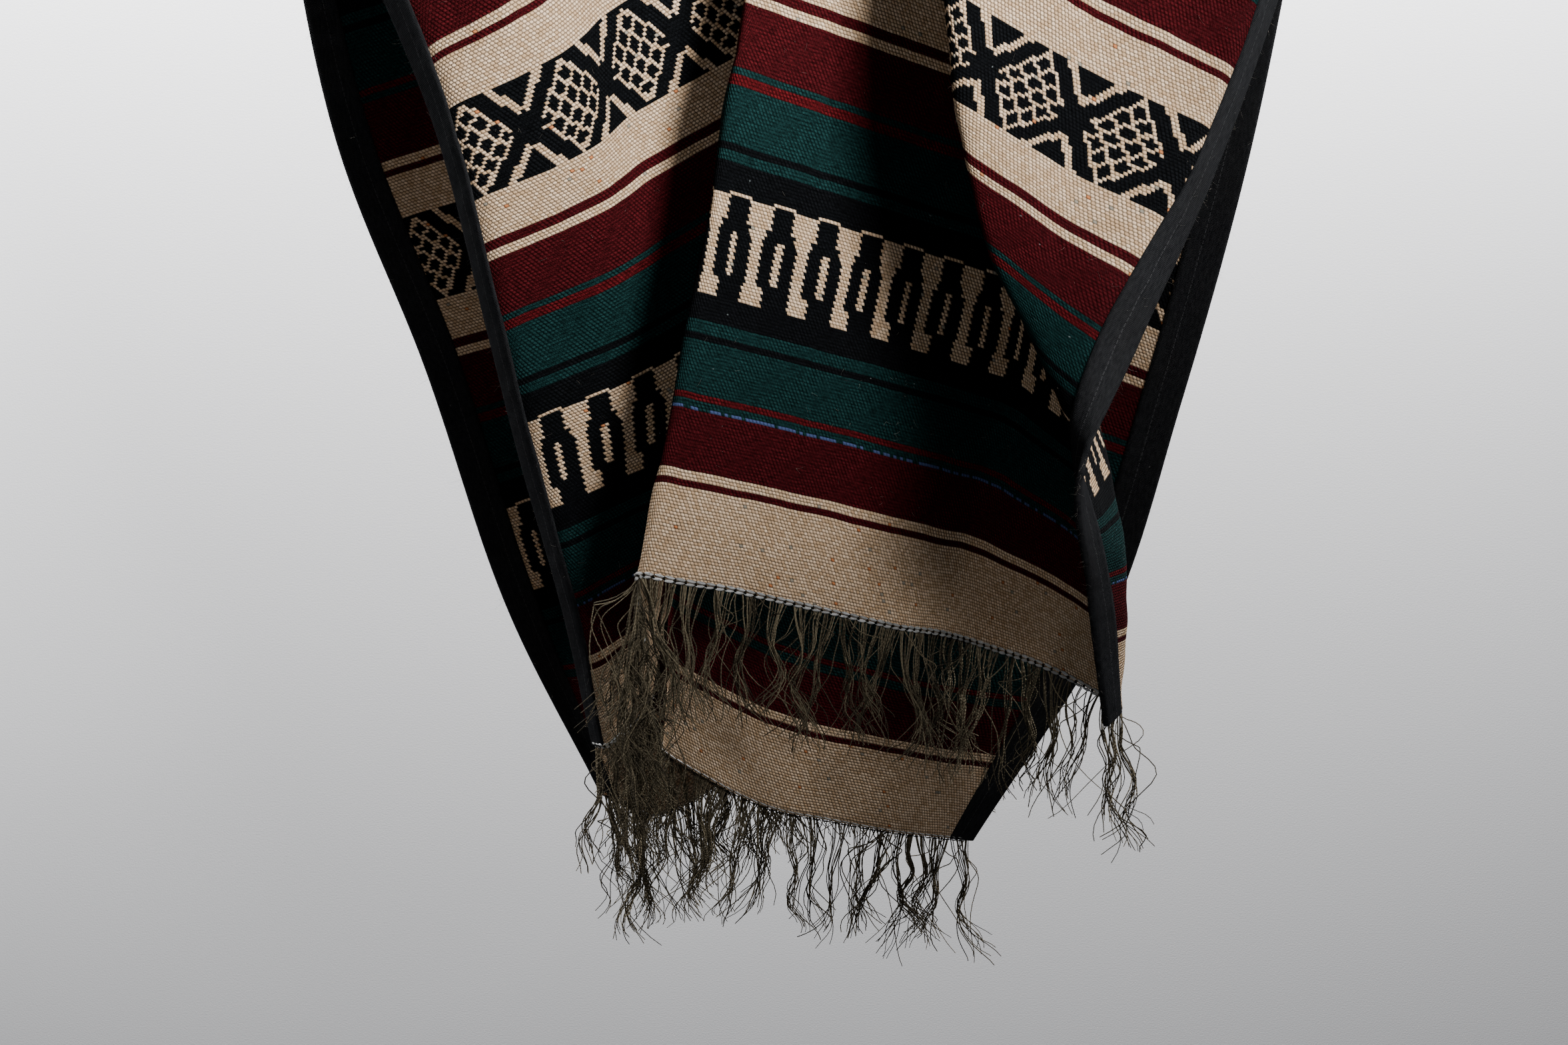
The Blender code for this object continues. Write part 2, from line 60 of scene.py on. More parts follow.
# The cloth's cut, its shoulder and its tapes, with the values of the part's source
CLOTH_WIDTH = 1.020
MIDDLE = CLOTH_WIDTH / 2
NEAR_DROP = 0.896
FAR_DROP = 1.025
NEAR_EDGE_EXTRA = 0.020
FAR_EDGE_EXTRA = -0.045
CLOTH_THICK = 0.0025
SLIT_REACH = 0.150
SLIT_HALF = 0.0035
SLIT_SPREAD = 0.012
SLIT_SPREAD_REACH = 0.110
TAPE_WIDTH = 0.027
NECK_TAPE_WIDTH = 0.014
APEX_Z = -0.075
ARM_HALF_SPAN = 0.215
ARM_SLOPE = math.radians(18)
SHOULDER_RADIUS = 0.0148
TIP_X = 0.375
TIP_Z = -0.290
TIP_RADIUS = 0.026
TIP_LEAN = 0.35
TIP_SWAY = 0.012

# Folded tape: columns as shares of its width, and its rows, lift off the cloth and bulge at the edge
TAPE_STEPS = (0.0, 0.12, 0.32, 0.5, 0.68, 0.88, 1.0)
TAPE_ROW_PITCH = 0.004
TAPE_LIFT = 0.0011
TAPE_SINK = 0.0002
TAPE_BULGE = 0.0016
TAPE_EDGE_GAP = 0.0004
TAPE_EDGE_U = -0.0005
TAPE_WAVE = 0.00011

# Loose yarns at the hems, gathered in locks
FRINGE_LENGTH = 0.108
FRINGE_INSET = 0.002
LOCK_COUNT = 90
LOCK_WIDTH = (0.012, 0.028)
LOCK_LEAN = 0.11
LOCK_CURL = (0.003, 0.010)
LOCK_TURNS = (0.7, 1.9)
LOCK_GATHER = 0.74
ROOT_LENGTH = 0.010
SPLAY = 0.030
STRAND_SWING = 0.015
LOOSE_BOW = (0.008, 0.024)
YARN_RADIUS = (0.00040, 0.00060)

# The twined cord and the fuzz
CORD_PITCH = 0.0080
CORD_INSET = 0.003
FIBRE_RADIUS = 0.00007

# Height of the cloth's slow swell, and how far in from the side edges it and the creases fade
SWELL_SIZE = 0.0035
EDGE_FADE = 0.05

# A row for each fold: rounding is the half length of its bend, and u, x, y, z are its places, in mm,
# at each level. They follow the part's source, but the near edges are turned back by left_turn and
# right_turn, the far edges lie further in, and the tuck's lower end is further left.
Fold = namedtuple("Fold", "name rounding u x y z")

NEAR_LEVELS = (0.0, 0.19, 0.47, 0.62, 0.735, 0.87, 1.0)
NEAR_FOLDS = (
    Fold("left_edge", 0, (0,) * 6,
         (-320, -232, -210, -193, -169, -152),
         (-80, -121, -101, -78, -57, -32),
         (-438, -656, -777, -877, -993, -1108)),
    Fold("left_turn", 12, (30,) * 6,
         (-305, -219, -197, -180, -156, -141),
         (-84, -141, -121, -98, -76, -49),
         (-421, -645, -768, -868, -986, -1103)),
    Fold("left_swell", 30, (110,) * 6,
         (-265, -143, -124, -108, -112, -119),
         (-80, -125, -99, -75, -50, -28),
         (-374, -616, -743, -845, -967, -1090)),
    Fold("left_dip", 30, (170,) * 6,
         (-225, -118, -82, -58, -86, -113),
         (-56, -85, -68, -55, -40, -22),
         (-347, -592, -722, -823, -950, -1080)),
    Fold("tuck", 16, (380, 370, 347, 330, 320, 315),
         (-50, 45, 45, 20, -70, -110),
         (-14, -8, -20, -30, -30, -24),
         (-300, -520, -656, -760, -885, -1045)),
    Fold("front_crest", 12, (510,) * 6,
         (-10, -27, -48, -65, -86, -111),
         (-50, -100, -117, -130, -137, -140),
         (-238, -481, -611, -711, -826, -941)),
    Fold("centre", 30, (545, 570, 587, 600, 600, 600),
         (16, 24, 17, 11, -11, -33),
         (-36, -73, -82, -89, -96, -100),
         (-245, -500, -635, -739, -853, -968)),
    Fold("centre_back", 30, (575, 620, 660, 690, 705, 720),
         (38, 66, 78, 87, 77, 67),
         (-24, -50, -49, -49, -48, -46),
         (-255, -515, -658, -767, -888, -1010)),
    Fold("deep_valley", 18, (605, 665, 730, 780, 790, 800),
         (58, 104, 137, 162, 140, 118),
         (-16, -30, -20, -15, -16, -22),
         (-262, -529, -678, -795, -912, -1026)),
    Fold("valley_wall", 20, (625, 700, 775, 840, 875, 900),
         (70, 102, 145, 187, 190, 175),
         (-28, -60, -64, -60, -72, -90),
         (-268, -542, -690, -815, -930, -1025)),
    Fold("right_roll", 12, (645, 735, 830, 900, 962, 978),
         (82, 100, 145, 200, 231, 234),
         (-42, -92, -112, -112, -100, -80),
         (-276, -556, -700, -830, -957, -1060)),
    Fold("right_crest", 12, (670, 808, 909, 970, 990, 997),
         (98, 93, 119, 183, 215, 229),
         (-60, -152, -163, -158, -122, -92),
         (-285, -580, -713, -842, -955, -1061)),
    Fold("right_side", 20, (840, 915, 965, 995, 1005, 1008),
         (225, 182, 165, 179, 206, 224),
         (-74, -138, -170, -180, -134, -100),
         (-355, -628, -748, -848, -953, -1062)),
    Fold("right_turn", 10, (990, 990, 996, 1006, 1012, 1014),
         (333, 258, 197, 181, 202, 221),
         (-72, -129, -173, -192, -140, -105),
         (-426, -658, -768, -851, -952, -1062)),
    Fold("right_edge", 0, (1020,) * 6,
         (346, 273, 217, 180, 197, 218),
         (-60, -108, -156, -204, -146, -110),
         (-440, -673, -785, -853, -951, -1063)),
)

FAR_LEVELS = (0.0, 0.19, 0.42, 0.60, 0.80, 1.0)
FAR_FOLDS = (
    Fold("left_edge", 0, (0,) * 5,
         (-368, -334, -278, -223, -153),
         (45, 50, 45, 40, 40),
         (-440, -673, -834, -1020, -1179)),
    Fold("left_swell", 30, (120,) * 5,
         (-290, -238, -182, -140, -114),
         (42, 68, 85, 95, 100),
         (-395, -630, -805, -1005, -1230)),
    Fold("left_back", 40, (250, 250, 250, 245, 240),
         (-190, -120, -70, -25, 12),
         (56, 92, 112, 125, 130),
         (-335, -560, -735, -930, -1160)),
    Fold("turn", 20, (440, 425, 410, 385, 360),
         (-5, 70, 98, 135, 160),
         (62, 96, 108, 115, 120),
         (-285, -515, -695, -900, -1122)),
    Fold("front_crest", 20, (600, 630, 640, 680, 700),
         (60, -30, -62, -95, -111),
         (42, 28, 22, 15, 8),
         (-290, -500, -690, -925, -1126)),
    Fold("centre", 40, (720, 760, 780, 800, 805),
         (150, 78, 55, 5, -30),
         (52, 62, 48, 30, 9),
         (-325, -555, -750, -980, -1178)),
    Fold("right_back", 30, (870, 890, 900, 910, 920),
         (262, 208, 172, 122, 76),
         (60, 84, 70, 60, 47),
         (-385, -630, -812, -1025, -1215)),
    Fold("right_edge", 0, (1020,) * 5,
         (364, 327, 288, 237, 138),
         (50, 52, 50, 45, 35),
         (-440, -690, -864, -1045, -1217)),
)

# Soft creases: centre u and v, direction of its length in degrees from across the
# cloth, half length and half width in mm, and height in mm, below nought for a trough
Crease = namedtuple("Crease", "u v turn length width height")
NEAR_CREASES = (
    Crease(90, 560, 62, 150, 22, 2.6),
    Crease(150, 430, 100, 120, 18, -2.2),
    Crease(60, 330, 78, 110, 16, 1.8),
    Crease(200, 250, 70, 120, 20, -2.0),
    Crease(120, 150, 84, 100, 15, 1.5),
    Crease(250, 500, 55, 140, 24, 2.4),
    Crease(560, 330, 84, 150, 14, -1.6),
    Crease(610, 210, 96, 130, 16, 1.5),
    Crease(545, 120, 80, 90, 11, 1.2),
    Crease(650, 90, 92, 80, 13, -1.4),
    Crease(860, 560, 118, 150, 22, 2.4),
    Crease(930, 440, 110, 130, 18, -2.2),
    Crease(890, 330, 122, 110, 15, 1.7),
    Crease(960, 300, 105, 90, 12, 1.3),
    Crease(740, 640, 100, 130, 20, -1.8),
)
FAR_CREASES = (
    Crease(70, 600, 84, 160, 20, 2.2),
    Crease(110, 330, 96, 120, 17, -1.8),
    Crease(60, 190, 80, 90, 14, 1.6),
    Crease(760, 150, 82, 120, 18, 1.9),
    Crease(850, 90, 98, 90, 14, -1.6),
    Crease(930, 420, 92, 150, 20, 2.2),
    Crease(980, 640, 86, 130, 16, -1.6),
    Crease(400, 500, 75, 180, 26, 2.4),
    Crease(560, 700, 100, 170, 24, -2.4),
)

# The two panels; side is the way along y that each faces, and blue is the strength of its blue yarn
Panel = namedtuple(
    "Panel", "name folds levels drop extra side creases swell_seed cord_seed cord_radius blue")
NEAR = Panel("near", NEAR_FOLDS, NEAR_LEVELS, NEAR_DROP, NEAR_EDGE_EXTRA, -1,
             NEAR_CREASES, 5, 21, 0.0012, 0.7)
FAR = Panel("far", FAR_FOLDS, FAR_LEVELS, FAR_DROP, FAR_EDGE_EXTRA, 1,
            FAR_CREASES, 9, 22, 0.0006, 0.0)

# The striped repeat, mirrored about both its ends: where each band starts, in mm from the middle of
# the cream band
STRIPE_HALF_REPEAT = 0.235
Stripe = namedtuple("Stripe", "start colour")
STRIPES = (
    Stripe(0, "cream"), Stripe(66, "maroon"), Stripe(71, "cream"), Stripe(77.5, "maroon"),
    Stripe(120, "teal"), Stripe(125, "red"), Stripe(130.5, "teal"), Stripe(168.5, "black"),
    Stripe(173.3, "teal"), Stripe(180, "black"),
)

# The pillar band's cream blocks, in mm from a pillar's middle and from the band's foot
PILLAR_PITCH = 0.035
PILLAR_FIRST_U = 0.028
PILLAR_FOOT_V = 0.200
Block = namedtuple("Block", "left right foot top")
PILLAR_BLOCKS = (
    Block(-9.8, 8.6, 52, 70),
    Block(-7.0, 6.0, 46, 53),
    Block(-4.3, 4.3, 12, 47),
    Block(-5.0, 10.4, 0, 13.5),
    Block(-20.2, -15.2, 17, 45),
    Block(8.6, 25.2, 68.6, 70.4),
)

# The diamond band: crossing arms, wedges between them and a lattice in the diamonds
DIAMOND_HALF_PITCH = 0.035
DIAMOND_FIRST_U = 0.002
DIAMOND_HALF_HEIGHT = 0.034
ARM_RUN = 0.029
ARM_HALF_WIDTH = 0.0050
LATTICE_HALF_PITCH = 0.0074
LATTICE_HALF_LINE = 0.0019
LATTICE_INSET = 0.0076
HUB_REACH = 0.013
WEDGE_START = 0.0150
WEDGE_SPREAD = 0.76
FIGURES_FROM_V = 0.2
PILLARS_FROM = 0.18

# One weft yarn's cell in the weave
CELL_WIDTH = 0.0029
CELL_HEIGHT = 0.0023
CELL_SLANT = 0.30
TWILL_RUN = 0.0031
TWILL_RISE = 0.0042
BLUE_YARN_V = (0.1192, 0.1216)
TAPE_RIB = 0.0011
SEAM_U = 0.0150
STITCH_PITCH = 0.0042

# Colours of single yarns and fibres, in linear light
CREAM_LOW = (0.30, 0.19, 0.10)
CREAM_HIGH = (0.95, 0.90, 0.80)
ORANGE_YARN = (0.40, 0.15, 0.06)
GREY_YARN = (0.27, 0.24, 0.19)
BLUE_YARN = (0.060, 0.085, 0.20)
BRIGHT_FIBRE = (0.30, 0.34, 0.34)
TAPE_DARK = (0.0070, 0.0073, 0.0080)
TAPE_PALE = (0.0155, 0.0158, 0.0168)
TAPE_WORN = (0.011, 0.0105, 0.0105)
TAPE_THREAD = (0.05, 0.05, 0.052)
TAPE_LINT = (0.20, 0.19, 0.18)

# The camera and the stage
CAMERA_PLACE = (-0.010, -1.553, -0.500)
CAMERA_PITCH = math.radians(16)
CAMERA_LENS = 50.0
CAMERA_SENSOR = 36.0
WALL_Y = 0.42
WALL_HALF = 3.0


def hermite(levels, values, at):
    """Smooth values between the levels, with the slopes of their neighbours."""
    levels = np.asarray(levels, float)
    slopes = np.gradient(values, levels, axis=0)
    i = int(np.clip(np.searchsorted(levels, at, side="right") - 1, 0, len(levels) - 2))
    step = levels[i + 1] - levels[i]
    t = (at - levels[i]) / step
    return (
        (2 * t**3 - 3 * t**2 + 1) * values[i]
        + (t**3 - 2 * t**2 + t) * step * slopes[i]
        + (3 * t**2 - 2 * t**3) * values[i + 1]
        + (t**3 - t**2) * step * slopes[i + 1]
    )


def rounded(knots, values, rounding, at):
    """A line through the knots with each corner turned into a soft bend."""
    slopes = np.diff(values) / np.diff(knots)
    gaps = np.diff(knots)
    out = np.interp(at, knots, values)
    for i in range(1, len(knots) - 1):
        half = min(rounding[i], gaps[i - 1] / 2, gaps[i] / 2)
        reach = np.maximum(0.0, half - np.abs(at - knots[i]))
        out = out + (slopes[i] - slopes[i - 1]) * reach**2 / (4 * half)
    return out


def shoulder_line(u):
    """x, y, z and bend radius of the shoulder at u: straight on each arm, sagging past its end."""
    side = np.sign(u - MIDDLE)
    out = np.abs(u - MIDDLE)
    arm = ARM_HALF_SPAN / math.cos(ARM_SLOPE)
    free = MIDDLE - arm
    t = np.clip((out - arm) / free, 0, 1)
    start, end = 2 * t**3 - 3 * t**2 + 1, 3 * t**2 - 2 * t**3
    leave, arrive = (t**3 - 2 * t**2 + t) * free, (t**3 - t**2) * free
    end_z = APEX_Z - arm * math.sin(ARM_SLOPE)
    fall = math.sqrt(1 - TIP_LEAN**2)
    free_x = start * ARM_HALF_SPAN + leave * math.cos(ARM_SLOPE) + end * TIP_X + arrive * TIP_LEAN
    free_z = start * end_z - leave * math.sin(ARM_SLOPE) + end * TIP_Z - arrive * fall
    x = np.where(out <= arm, out * math.cos(ARM_SLOPE), free_x)
    z = np.where(out <= arm, APEX_Z - out * math.sin(ARM_SLOPE), free_z)
    y = TIP_SWAY * np.sin(2 * math.pi * t) * side
    return side * x, y, z, SHOULDER_RADIUS + (TIP_RADIUS - SHOULDER_RADIUS) * t


def fold_places(panel, r):
    """u, x, y and z of every fold at r, the share of the way down; the top lies on the shoulder."""
    top = np.array([fold.u[0] for fold in panel.folds]) * MM
    x, y, z, _ = shoulder_line(top)
    places = []
    for first, column in ((top, "u"), (x, "x"), (y, "y"), (z, "z")):
        lower = np.array([getattr(fold, column) for fold in panel.folds]).T * MM
        places.append(hermite(panel.levels, np.vstack([first, lower]), r))
    return places


def cloth_length(panel, u):
    """Length of the panel from the shoulder to the hem at u."""
    return panel.drop + panel.extra * ((u - MIDDLE) / MIDDLE) ** 2


def cloth_row(panel, r, u):
    """Mid points of the cloth across one row."""
    places = fold_places(panel, r)
    rounding = [fold.rounding * MM for fold in panel.folds]
    fade = (1 - min(1.0, r / 0.4)) ** 2
    shoulder, cut_short = shoulder_line(u), shoulder_line(places[0])
    x, y, z = (
        rounded(places[0], places[k + 1], rounding, u)
        + (shoulder[k] - rounded(places[0], cut_short[k], rounding, u)) * fade
        for k in range(3)
    )
    s = r * cloth_length(panel, u)
    radius = shoulder[3]
    turn = np.minimum(s / radius, math.pi / 2)
    y = y + panel.side * radius * np.sin(turn) * fade
    z = z + (np.minimum(s, radius * math.pi / 2) - radius * (1 - np.cos(turn))) * fade
    off = np.abs(u - MIDDLE)
    spread = SLIT_SPREAD * max(0.0, 1 - (r * panel.drop / SLIT_REACH) ** 2)
    x = x + np.sign(u - MIDDLE) * spread * np.maximum(0.0, 1 - off / SLIT_SPREAD_REACH) ** 2
    return np.stack([x, y, z], axis=1)


def unit(vectors):
    return vectors / np.linalg.norm(vectors, axis=-1, keepdims=True)


def grid_normals(panel, points):
    """Normals of a grid of points, away from the cloth's other panel."""
    return unit(np.cross(np.gradient(points, axis=0), np.gradient(points, axis=1)) * -panel.side)


def grid_faces(rows, columns):
    """The four corners of each cell of a grid, as indices of its points."""
    index = np.arange(rows * columns).reshape(rows, columns)
    return np.stack([index[:-1, :-1], index[:-1, 1:], index[1:, 1:], index[1:, :-1]], axis=-1)


def cloth_grid(panel, rows, u):
    """Mid points and outward normals of the panel, with rows of r and columns of u."""
    points = np.array([cloth_row(panel, r, u) for r in rows])
    return points, grid_normals(panel, points)


def crease_heights(creases, u, v):
    """Height of the listed creases at each point, with long soft ends."""
    height = np.zeros_like(v)
    for crease in creases:
        turn = math.radians(crease.turn)
        du, dv = u - crease.u * MM, v - crease.v * MM
        along = (du * math.cos(turn) + dv * math.sin(turn)) / (crease.length * MM)
        beside = (dv * math.cos(turn) - du * math.sin(turn)) / (crease.width * MM)
        height += crease.height * MM * np.exp(-along**2 * 2 - beside**2)
    return height


def ripple(u, v, seed, size):
    """A slow uneven swell that keeps large plain stretches from looking ironed."""
    rng = np.random.default_rng(seed)
    height = np.zeros_like(v)
    for _ in range(14):
        angle = rng.uniform(0, math.pi)
        pitch = rng.uniform(0.035, 0.12)
        phase = rng.uniform(0, 2 * math.pi)
        wave = (u * math.cos(angle) + v * math.sin(angle)) * 2 * math.pi / pitch
        height += np.sin(wave + phase + 1.3 * np.sin(u * 23 + v * 17 + phase)) * pitch
    return height * size


def new_mesh(name, vertices, faces, finishes, uv=None, face_finish=None):
    """A smooth mesh object from arrays; uv is given for each vertex."""
    mesh = bpy.data.meshes.new(name)
    faces = np.asarray(faces, np.int32)
    size = faces.shape[1]
    mesh.vertices.add(len(vertices))
    mesh.vertices.foreach_set("co", np.asarray(vertices, np.float32).ravel())
    mesh.loops.add(faces.size)
    mesh.loops.foreach_set("vertex_index", faces.ravel())
    mesh.polygons.add(len(faces))
    mesh.polygons.foreach_set("loop_start", np.arange(0, faces.size, size, dtype=np.int32))
    mesh.update(calc_edges=True)
    mesh.shade_smooth()
    if uv is not None:
        layer = mesh.uv_layers.new(name="UVMap")
        layer.data.foreach_set("uv", np.asarray(uv, np.float32)[faces.ravel()].ravel())
    for finish in finishes:
        mesh.materials.append(finish)
    if face_finish is not None:
        mesh.polygons.foreach_set("material_index", np.asarray(face_finish, np.int32))
    made = bpy.data.objects.new(name, mesh)
    bpy.context.collection.objects.link(made)
    return made


def shell(points, normals, kept, thick, outward):
    """Vertices and faces of a closed thin wall on the grid's kept cells."""
    rows, columns = points.shape[:2]
    count = rows * columns
    front = (points + normals * thick / 2).reshape(-1, 3)
    back = (points - normals * thick / 2).reshape(-1, 3)
    cells = grid_faces(rows, columns)[kept]
    if not outward:
        cells = cells[:, ::-1]
    starts, ends = cells.ravel(), np.roll(cells, -1, axis=1).ravel()
    rim = ~np.isin(starts * count + ends, ends * count + starts)
    starts, ends = starts[rim], ends[rim]
    sides = np.stack([ends, starts, starts + count, ends + count], axis=1)
    return np.vstack([front, back]), np.vstack([cells, cells[:, ::-1] + count, sides])


def tubes(paths, radii, sides):
    """Vertices, faces and share along for thin tubes; paths is strand by point, radii the same."""
    count, length = paths.shape[:2]
    tangents = np.gradient(paths, axis=1)
    tangents /= np.linalg.norm(tangents, axis=2, keepdims=True) + 1e-12
    first = np.cross(tangents, np.array([0.31, 0.93, 0.2]))
    first /= np.linalg.norm(first, axis=2, keepdims=True) + 1e-12
    second = np.cross(tangents, first)
    rings = []
    for k in range(sides):
        angle = 2 * math.pi * k / sides
        rings.append(paths + (first * math.cos(angle) + second * math.sin(angle)) * radii[..., None])
    vertices = np.stack(rings, axis=2).reshape(-1, 3)
    index = np.arange(count * length * sides).reshape(count, length, sides)
    ahead = np.roll(index, -1, axis=2)
    faces = np.stack([index[:, :-1], ahead[:, :-1], ahead[:, 1:], index[:, 1:]], axis=-1)
    share = np.broadcast_to(np.linspace(0, 1, length)[None, :, None], (count, length, sides))
    return vertices, faces.reshape(-1, 4), share.reshape(-1)


def strand_uv(share, count, rng):
    """UV for thin tubes: a random value for each strand, and the share along it."""
    own = np.repeat(rng.uniform(0, 1, count), len(share) // count)
    return np.stack([own, share], axis=1)


def settle(piece, slot, *replaced):
    """The piece rides on the body and stands for the solids it replaces; slot is not used."""
    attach(piece, BODY)
    if replaced:
        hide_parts(*replaced)
    return piece


class Nodes:
    """A short way to add shader nodes to one tree."""

    def __init__(self, tree):
        self.tree = tree

    def add(self, kind, **settings):
        node = self.tree.nodes.new(kind)
        for name, value in settings.items():
            setattr(node, name, value)
        return node

    def feed(self, socket, value):
        if isinstance(value, bpy.types.NodeSocket):
            self.tree.links.new(value, socket)
        else:
            socket.default_value = value

    def math(self, operation, *values, clamp=False):
        node = self.add("ShaderNodeMath", operation=operation, use_clamp=clamp)
        for socket, value in zip(node.inputs, values):
            self.feed(socket, value)
        return node.outputs[0]

    def plus(self, first, second):
        return self.math("ADD", first, second)

    def minus(self, first, second):
        return self.math("SUBTRACT", first, second)

    def times(self, first, second):
        return self.math("MULTIPLY", first, second)

    def mix(self, factor, first, second, blend="MIX"):
        node = self.add("ShaderNodeMix", data_type="RGBA", blend_type=blend)
        for place, value in ((0, factor), (6, first), (7, second)):
            if isinstance(value, tuple):
                value = (*value[:3], 1.0)
            self.feed(node.inputs[place], value)
        return node.outputs[2]

    def range(self, value, low, high, to_low=0.0, to_high=1.0):
        node = self.add("ShaderNodeMapRange")
        for socket, number in zip(node.inputs, (value, low, high, to_low, to_high)):
            self.feed(socket, number)
        return node.outputs[0]

    def vector(self, x, y, z=0.0):
        node = self.add("ShaderNodeCombineXYZ")
        for socket, value in zip(node.inputs, (x, y, z)):
            self.feed(socket, value)
        return node.outputs[0]

    def stretched(self, u, v, scale_u, scale_v, z=0.0):
        """A place on the cloth scaled on each axis, for noise that runs along the yarn."""
        return self.vector(self.times(u, scale_u), self.times(v, scale_v), z)

    def noise(self, vector, scale, detail=2.0, roughness=0.5):
        node = self.add("ShaderNodeTexNoise")
        self.feed(node.inputs["Vector"], vector)
        node.inputs["Scale"].default_value = scale
        node.inputs["Detail"].default_value = detail
        node.inputs["Roughness"].default_value = roughness
        return node.outputs["Fac"]

    def random(self, vector):
        node = self.add("ShaderNodeTexWhiteNoise", noise_dimensions="2D")
        self.feed(node.inputs["Vector"], vector)
        return node.outputs["Value"]

    def uv(self):
        node = self.add("ShaderNodeUVMap", uv_map="UVMap")
        split = self.add("ShaderNodeSeparateXYZ")
        self.feed(split.inputs[0], node.outputs[0])
        return split.outputs[0], split.outputs[1]

    def group(self, tree, **values):
        node = self.add("ShaderNodeGroup", node_tree=tree)
        for name, value in values.items():
            self.feed(node.inputs[name.replace("_", " ")], value)
        return node.outputs

    def inside(self, value, low, high):
        """One where value lies between low and high."""
        above = self.math("GREATER_THAN", value, low)
        return self.times(above, self.math("LESS_THAN", value, high))


def new_group(name, inputs, outputs):
    """An empty shader node group with float inputs and outputs of the kinds given."""
    tree = bpy.data.node_groups.new(name, "ShaderNodeTree")
    for label in inputs:
        tree.interface.new_socket(label, in_out="INPUT", socket_type="NodeSocketFloat")
    for label in outputs:
        tree.interface.new_socket(label, in_out="OUTPUT", socket_type="NodeSocketFloat")
    nodes = Nodes(tree)
    return tree, nodes, nodes.add("NodeGroupInput").outputs, nodes.add("NodeGroupOutput").inputs


def yarn_cells_group():
    """Cells of a plain weave, each row shifted by half a cell: middles, height and a random value."""
    name = "yarn_cells"
    if name in bpy.data.node_groups:
        return bpy.data.node_groups[name]
    tree, n, given, out = new_group(
        name, ("U", "V", "Width", "Height", "Slant"),
        ("Middle U", "Middle V", "Relief", "Random"),
    )
    u, v, width, height, slant = given[0], given[1], given[2], given[3], given[4]
    row_place = n.math("DIVIDE", v, height)
    row = n.math("FLOOR", row_place)
    local_v = n.minus(n.minus(row_place, row), 0.5)
    shift = n.times(n.math("FLOORED_MODULO", row, 2.0), 0.5)
    column_place = n.plus(n.math("DIVIDE", u, width), shift)
    column_place = n.math("MULTIPLY_ADD", local_v, slant, column_place)
    column = n.math("FLOOR", column_place)
    local_u = n.minus(n.minus(column_place, column), 0.5)
    own = n.random(n.vector(column, row))
    middle_u = n.times(n.minus(n.plus(column, 0.5), shift), width)
    middle_v = n.times(n.plus(row, 0.5), height)
    far_u = n.math("POWER", n.math("ABSOLUTE", n.times(local_u, 2.0)), 2.4)
    far_v = n.math("POWER", n.math("ABSOLUTE", n.times(local_v, 2.0)), 2.0)
    crown = n.math("SUBTRACT", 1.0, n.plus(far_u, far_v), clamp=True)
    relief = n.times(n.math("SQRT", crown), n.range(own, 0.0, 1.0, 0.72, 1.0))
    for socket, value in zip(out, (middle_u, middle_v, relief, own)):
        n.feed(socket, value)
    return tree


def fleck_group():
    """Streaks along the yarn, and sparse bright flecks, from two places on a surface."""
    name = "yarn_flecks"
    if name in bpy.data.node_groups:
        return bpy.data.node_groups[name]
    tree, n, given, out = new_group(name, ("U", "V"), ("Streak", "Fleck", "Speck"))
    streak = n.noise(n.stretched(given[0], given[1], 170.0, 620.0), 1.0, 3.0)
    fleck = n.noise(n.stretched(given[0], given[1], 260.0, 520.0, 7.0), 1.0, 2.0)
    speck = n.noise(n.stretched(given[0], given[1], 210.0, 230.0, 3.0), 1.0, 1.0)
    n.feed(out[0], streak)
    n.feed(out[1], n.range(fleck, 0.66, 0.76))
    n.feed(out[2], n.range(speck, 0.80, 0.84))
    return tree


def new_material(name, roughness, specular=0.03):
    made = bpy.data.materials.new(name)
    made.use_nodes = True
    shader = made.node_tree.nodes["Principled BSDF"]
    shader.inputs["Roughness"].default_value = roughness
    shader.inputs["Specular IOR Level"].default_value = specular
    return made, Nodes(made.node_tree), shader


def add_bump(nodes, shader, height, distance):
    bump = nodes.add("ShaderNodeBump")
    bump.inputs["Distance"].default_value = distance
    nodes.feed(bump.inputs["Height"], height)
    nodes.feed(shader.inputs["Normal"], bump.outputs[0])


def stripe_ramp(n, place, colours):
    """Colour of the band at a place in the half repeat; alpha is one on cream."""
    node = n.add("ShaderNodeValToRGB")
    ramp = node.color_ramp
    ramp.interpolation = "CONSTANT"
    n.feed(node.inputs[0], n.math("DIVIDE", place, STRIPE_HALF_REPEAT))
    for i, stripe in enumerate(STRIPES):
        where = stripe.start * MM / STRIPE_HALF_REPEAT
        stop = ramp.elements[0] if i == 0 else ramp.elements.new(where)
        stop.position = where
        stop.color = (*colours[stripe.colour][:3], 1.0 if stripe.colour == "cream" else 0.0)
    ramp.elements.remove(ramp.elements[-1])
    return node.outputs[0], node.outputs[1]


def pillar_mask(n, u, v):
    """One on the cream blocks of the pillar band."""
    from_first = n.plus(n.minus(u, PILLAR_FIRST_U), PILLAR_PITCH / 2)
    local = n.minus(n.math("FLOORED_MODULO", from_first, PILLAR_PITCH), PILLAR_PITCH / 2)
    up = n.minus(n.math("FLOORED_MODULO", v, 2 * STRIPE_HALF_REPEAT), PILLAR_FOOT_V)
    mask = 0.0
    for block in PILLAR_BLOCKS:
        for move in (0.0, PILLAR_PITCH, -PILLAR_PITCH):
            left, right = block.left * MM + move, block.right * MM + move
            if right < -PILLAR_PITCH / 2 or left > PILLAR_PITCH / 2:
                continue
            across = n.inside(local, left, right)
            there = n.times(across, n.inside(up, block.foot * MM, block.top * MM))
            mask = n.math("MAXIMUM", mask, there)
    return mask


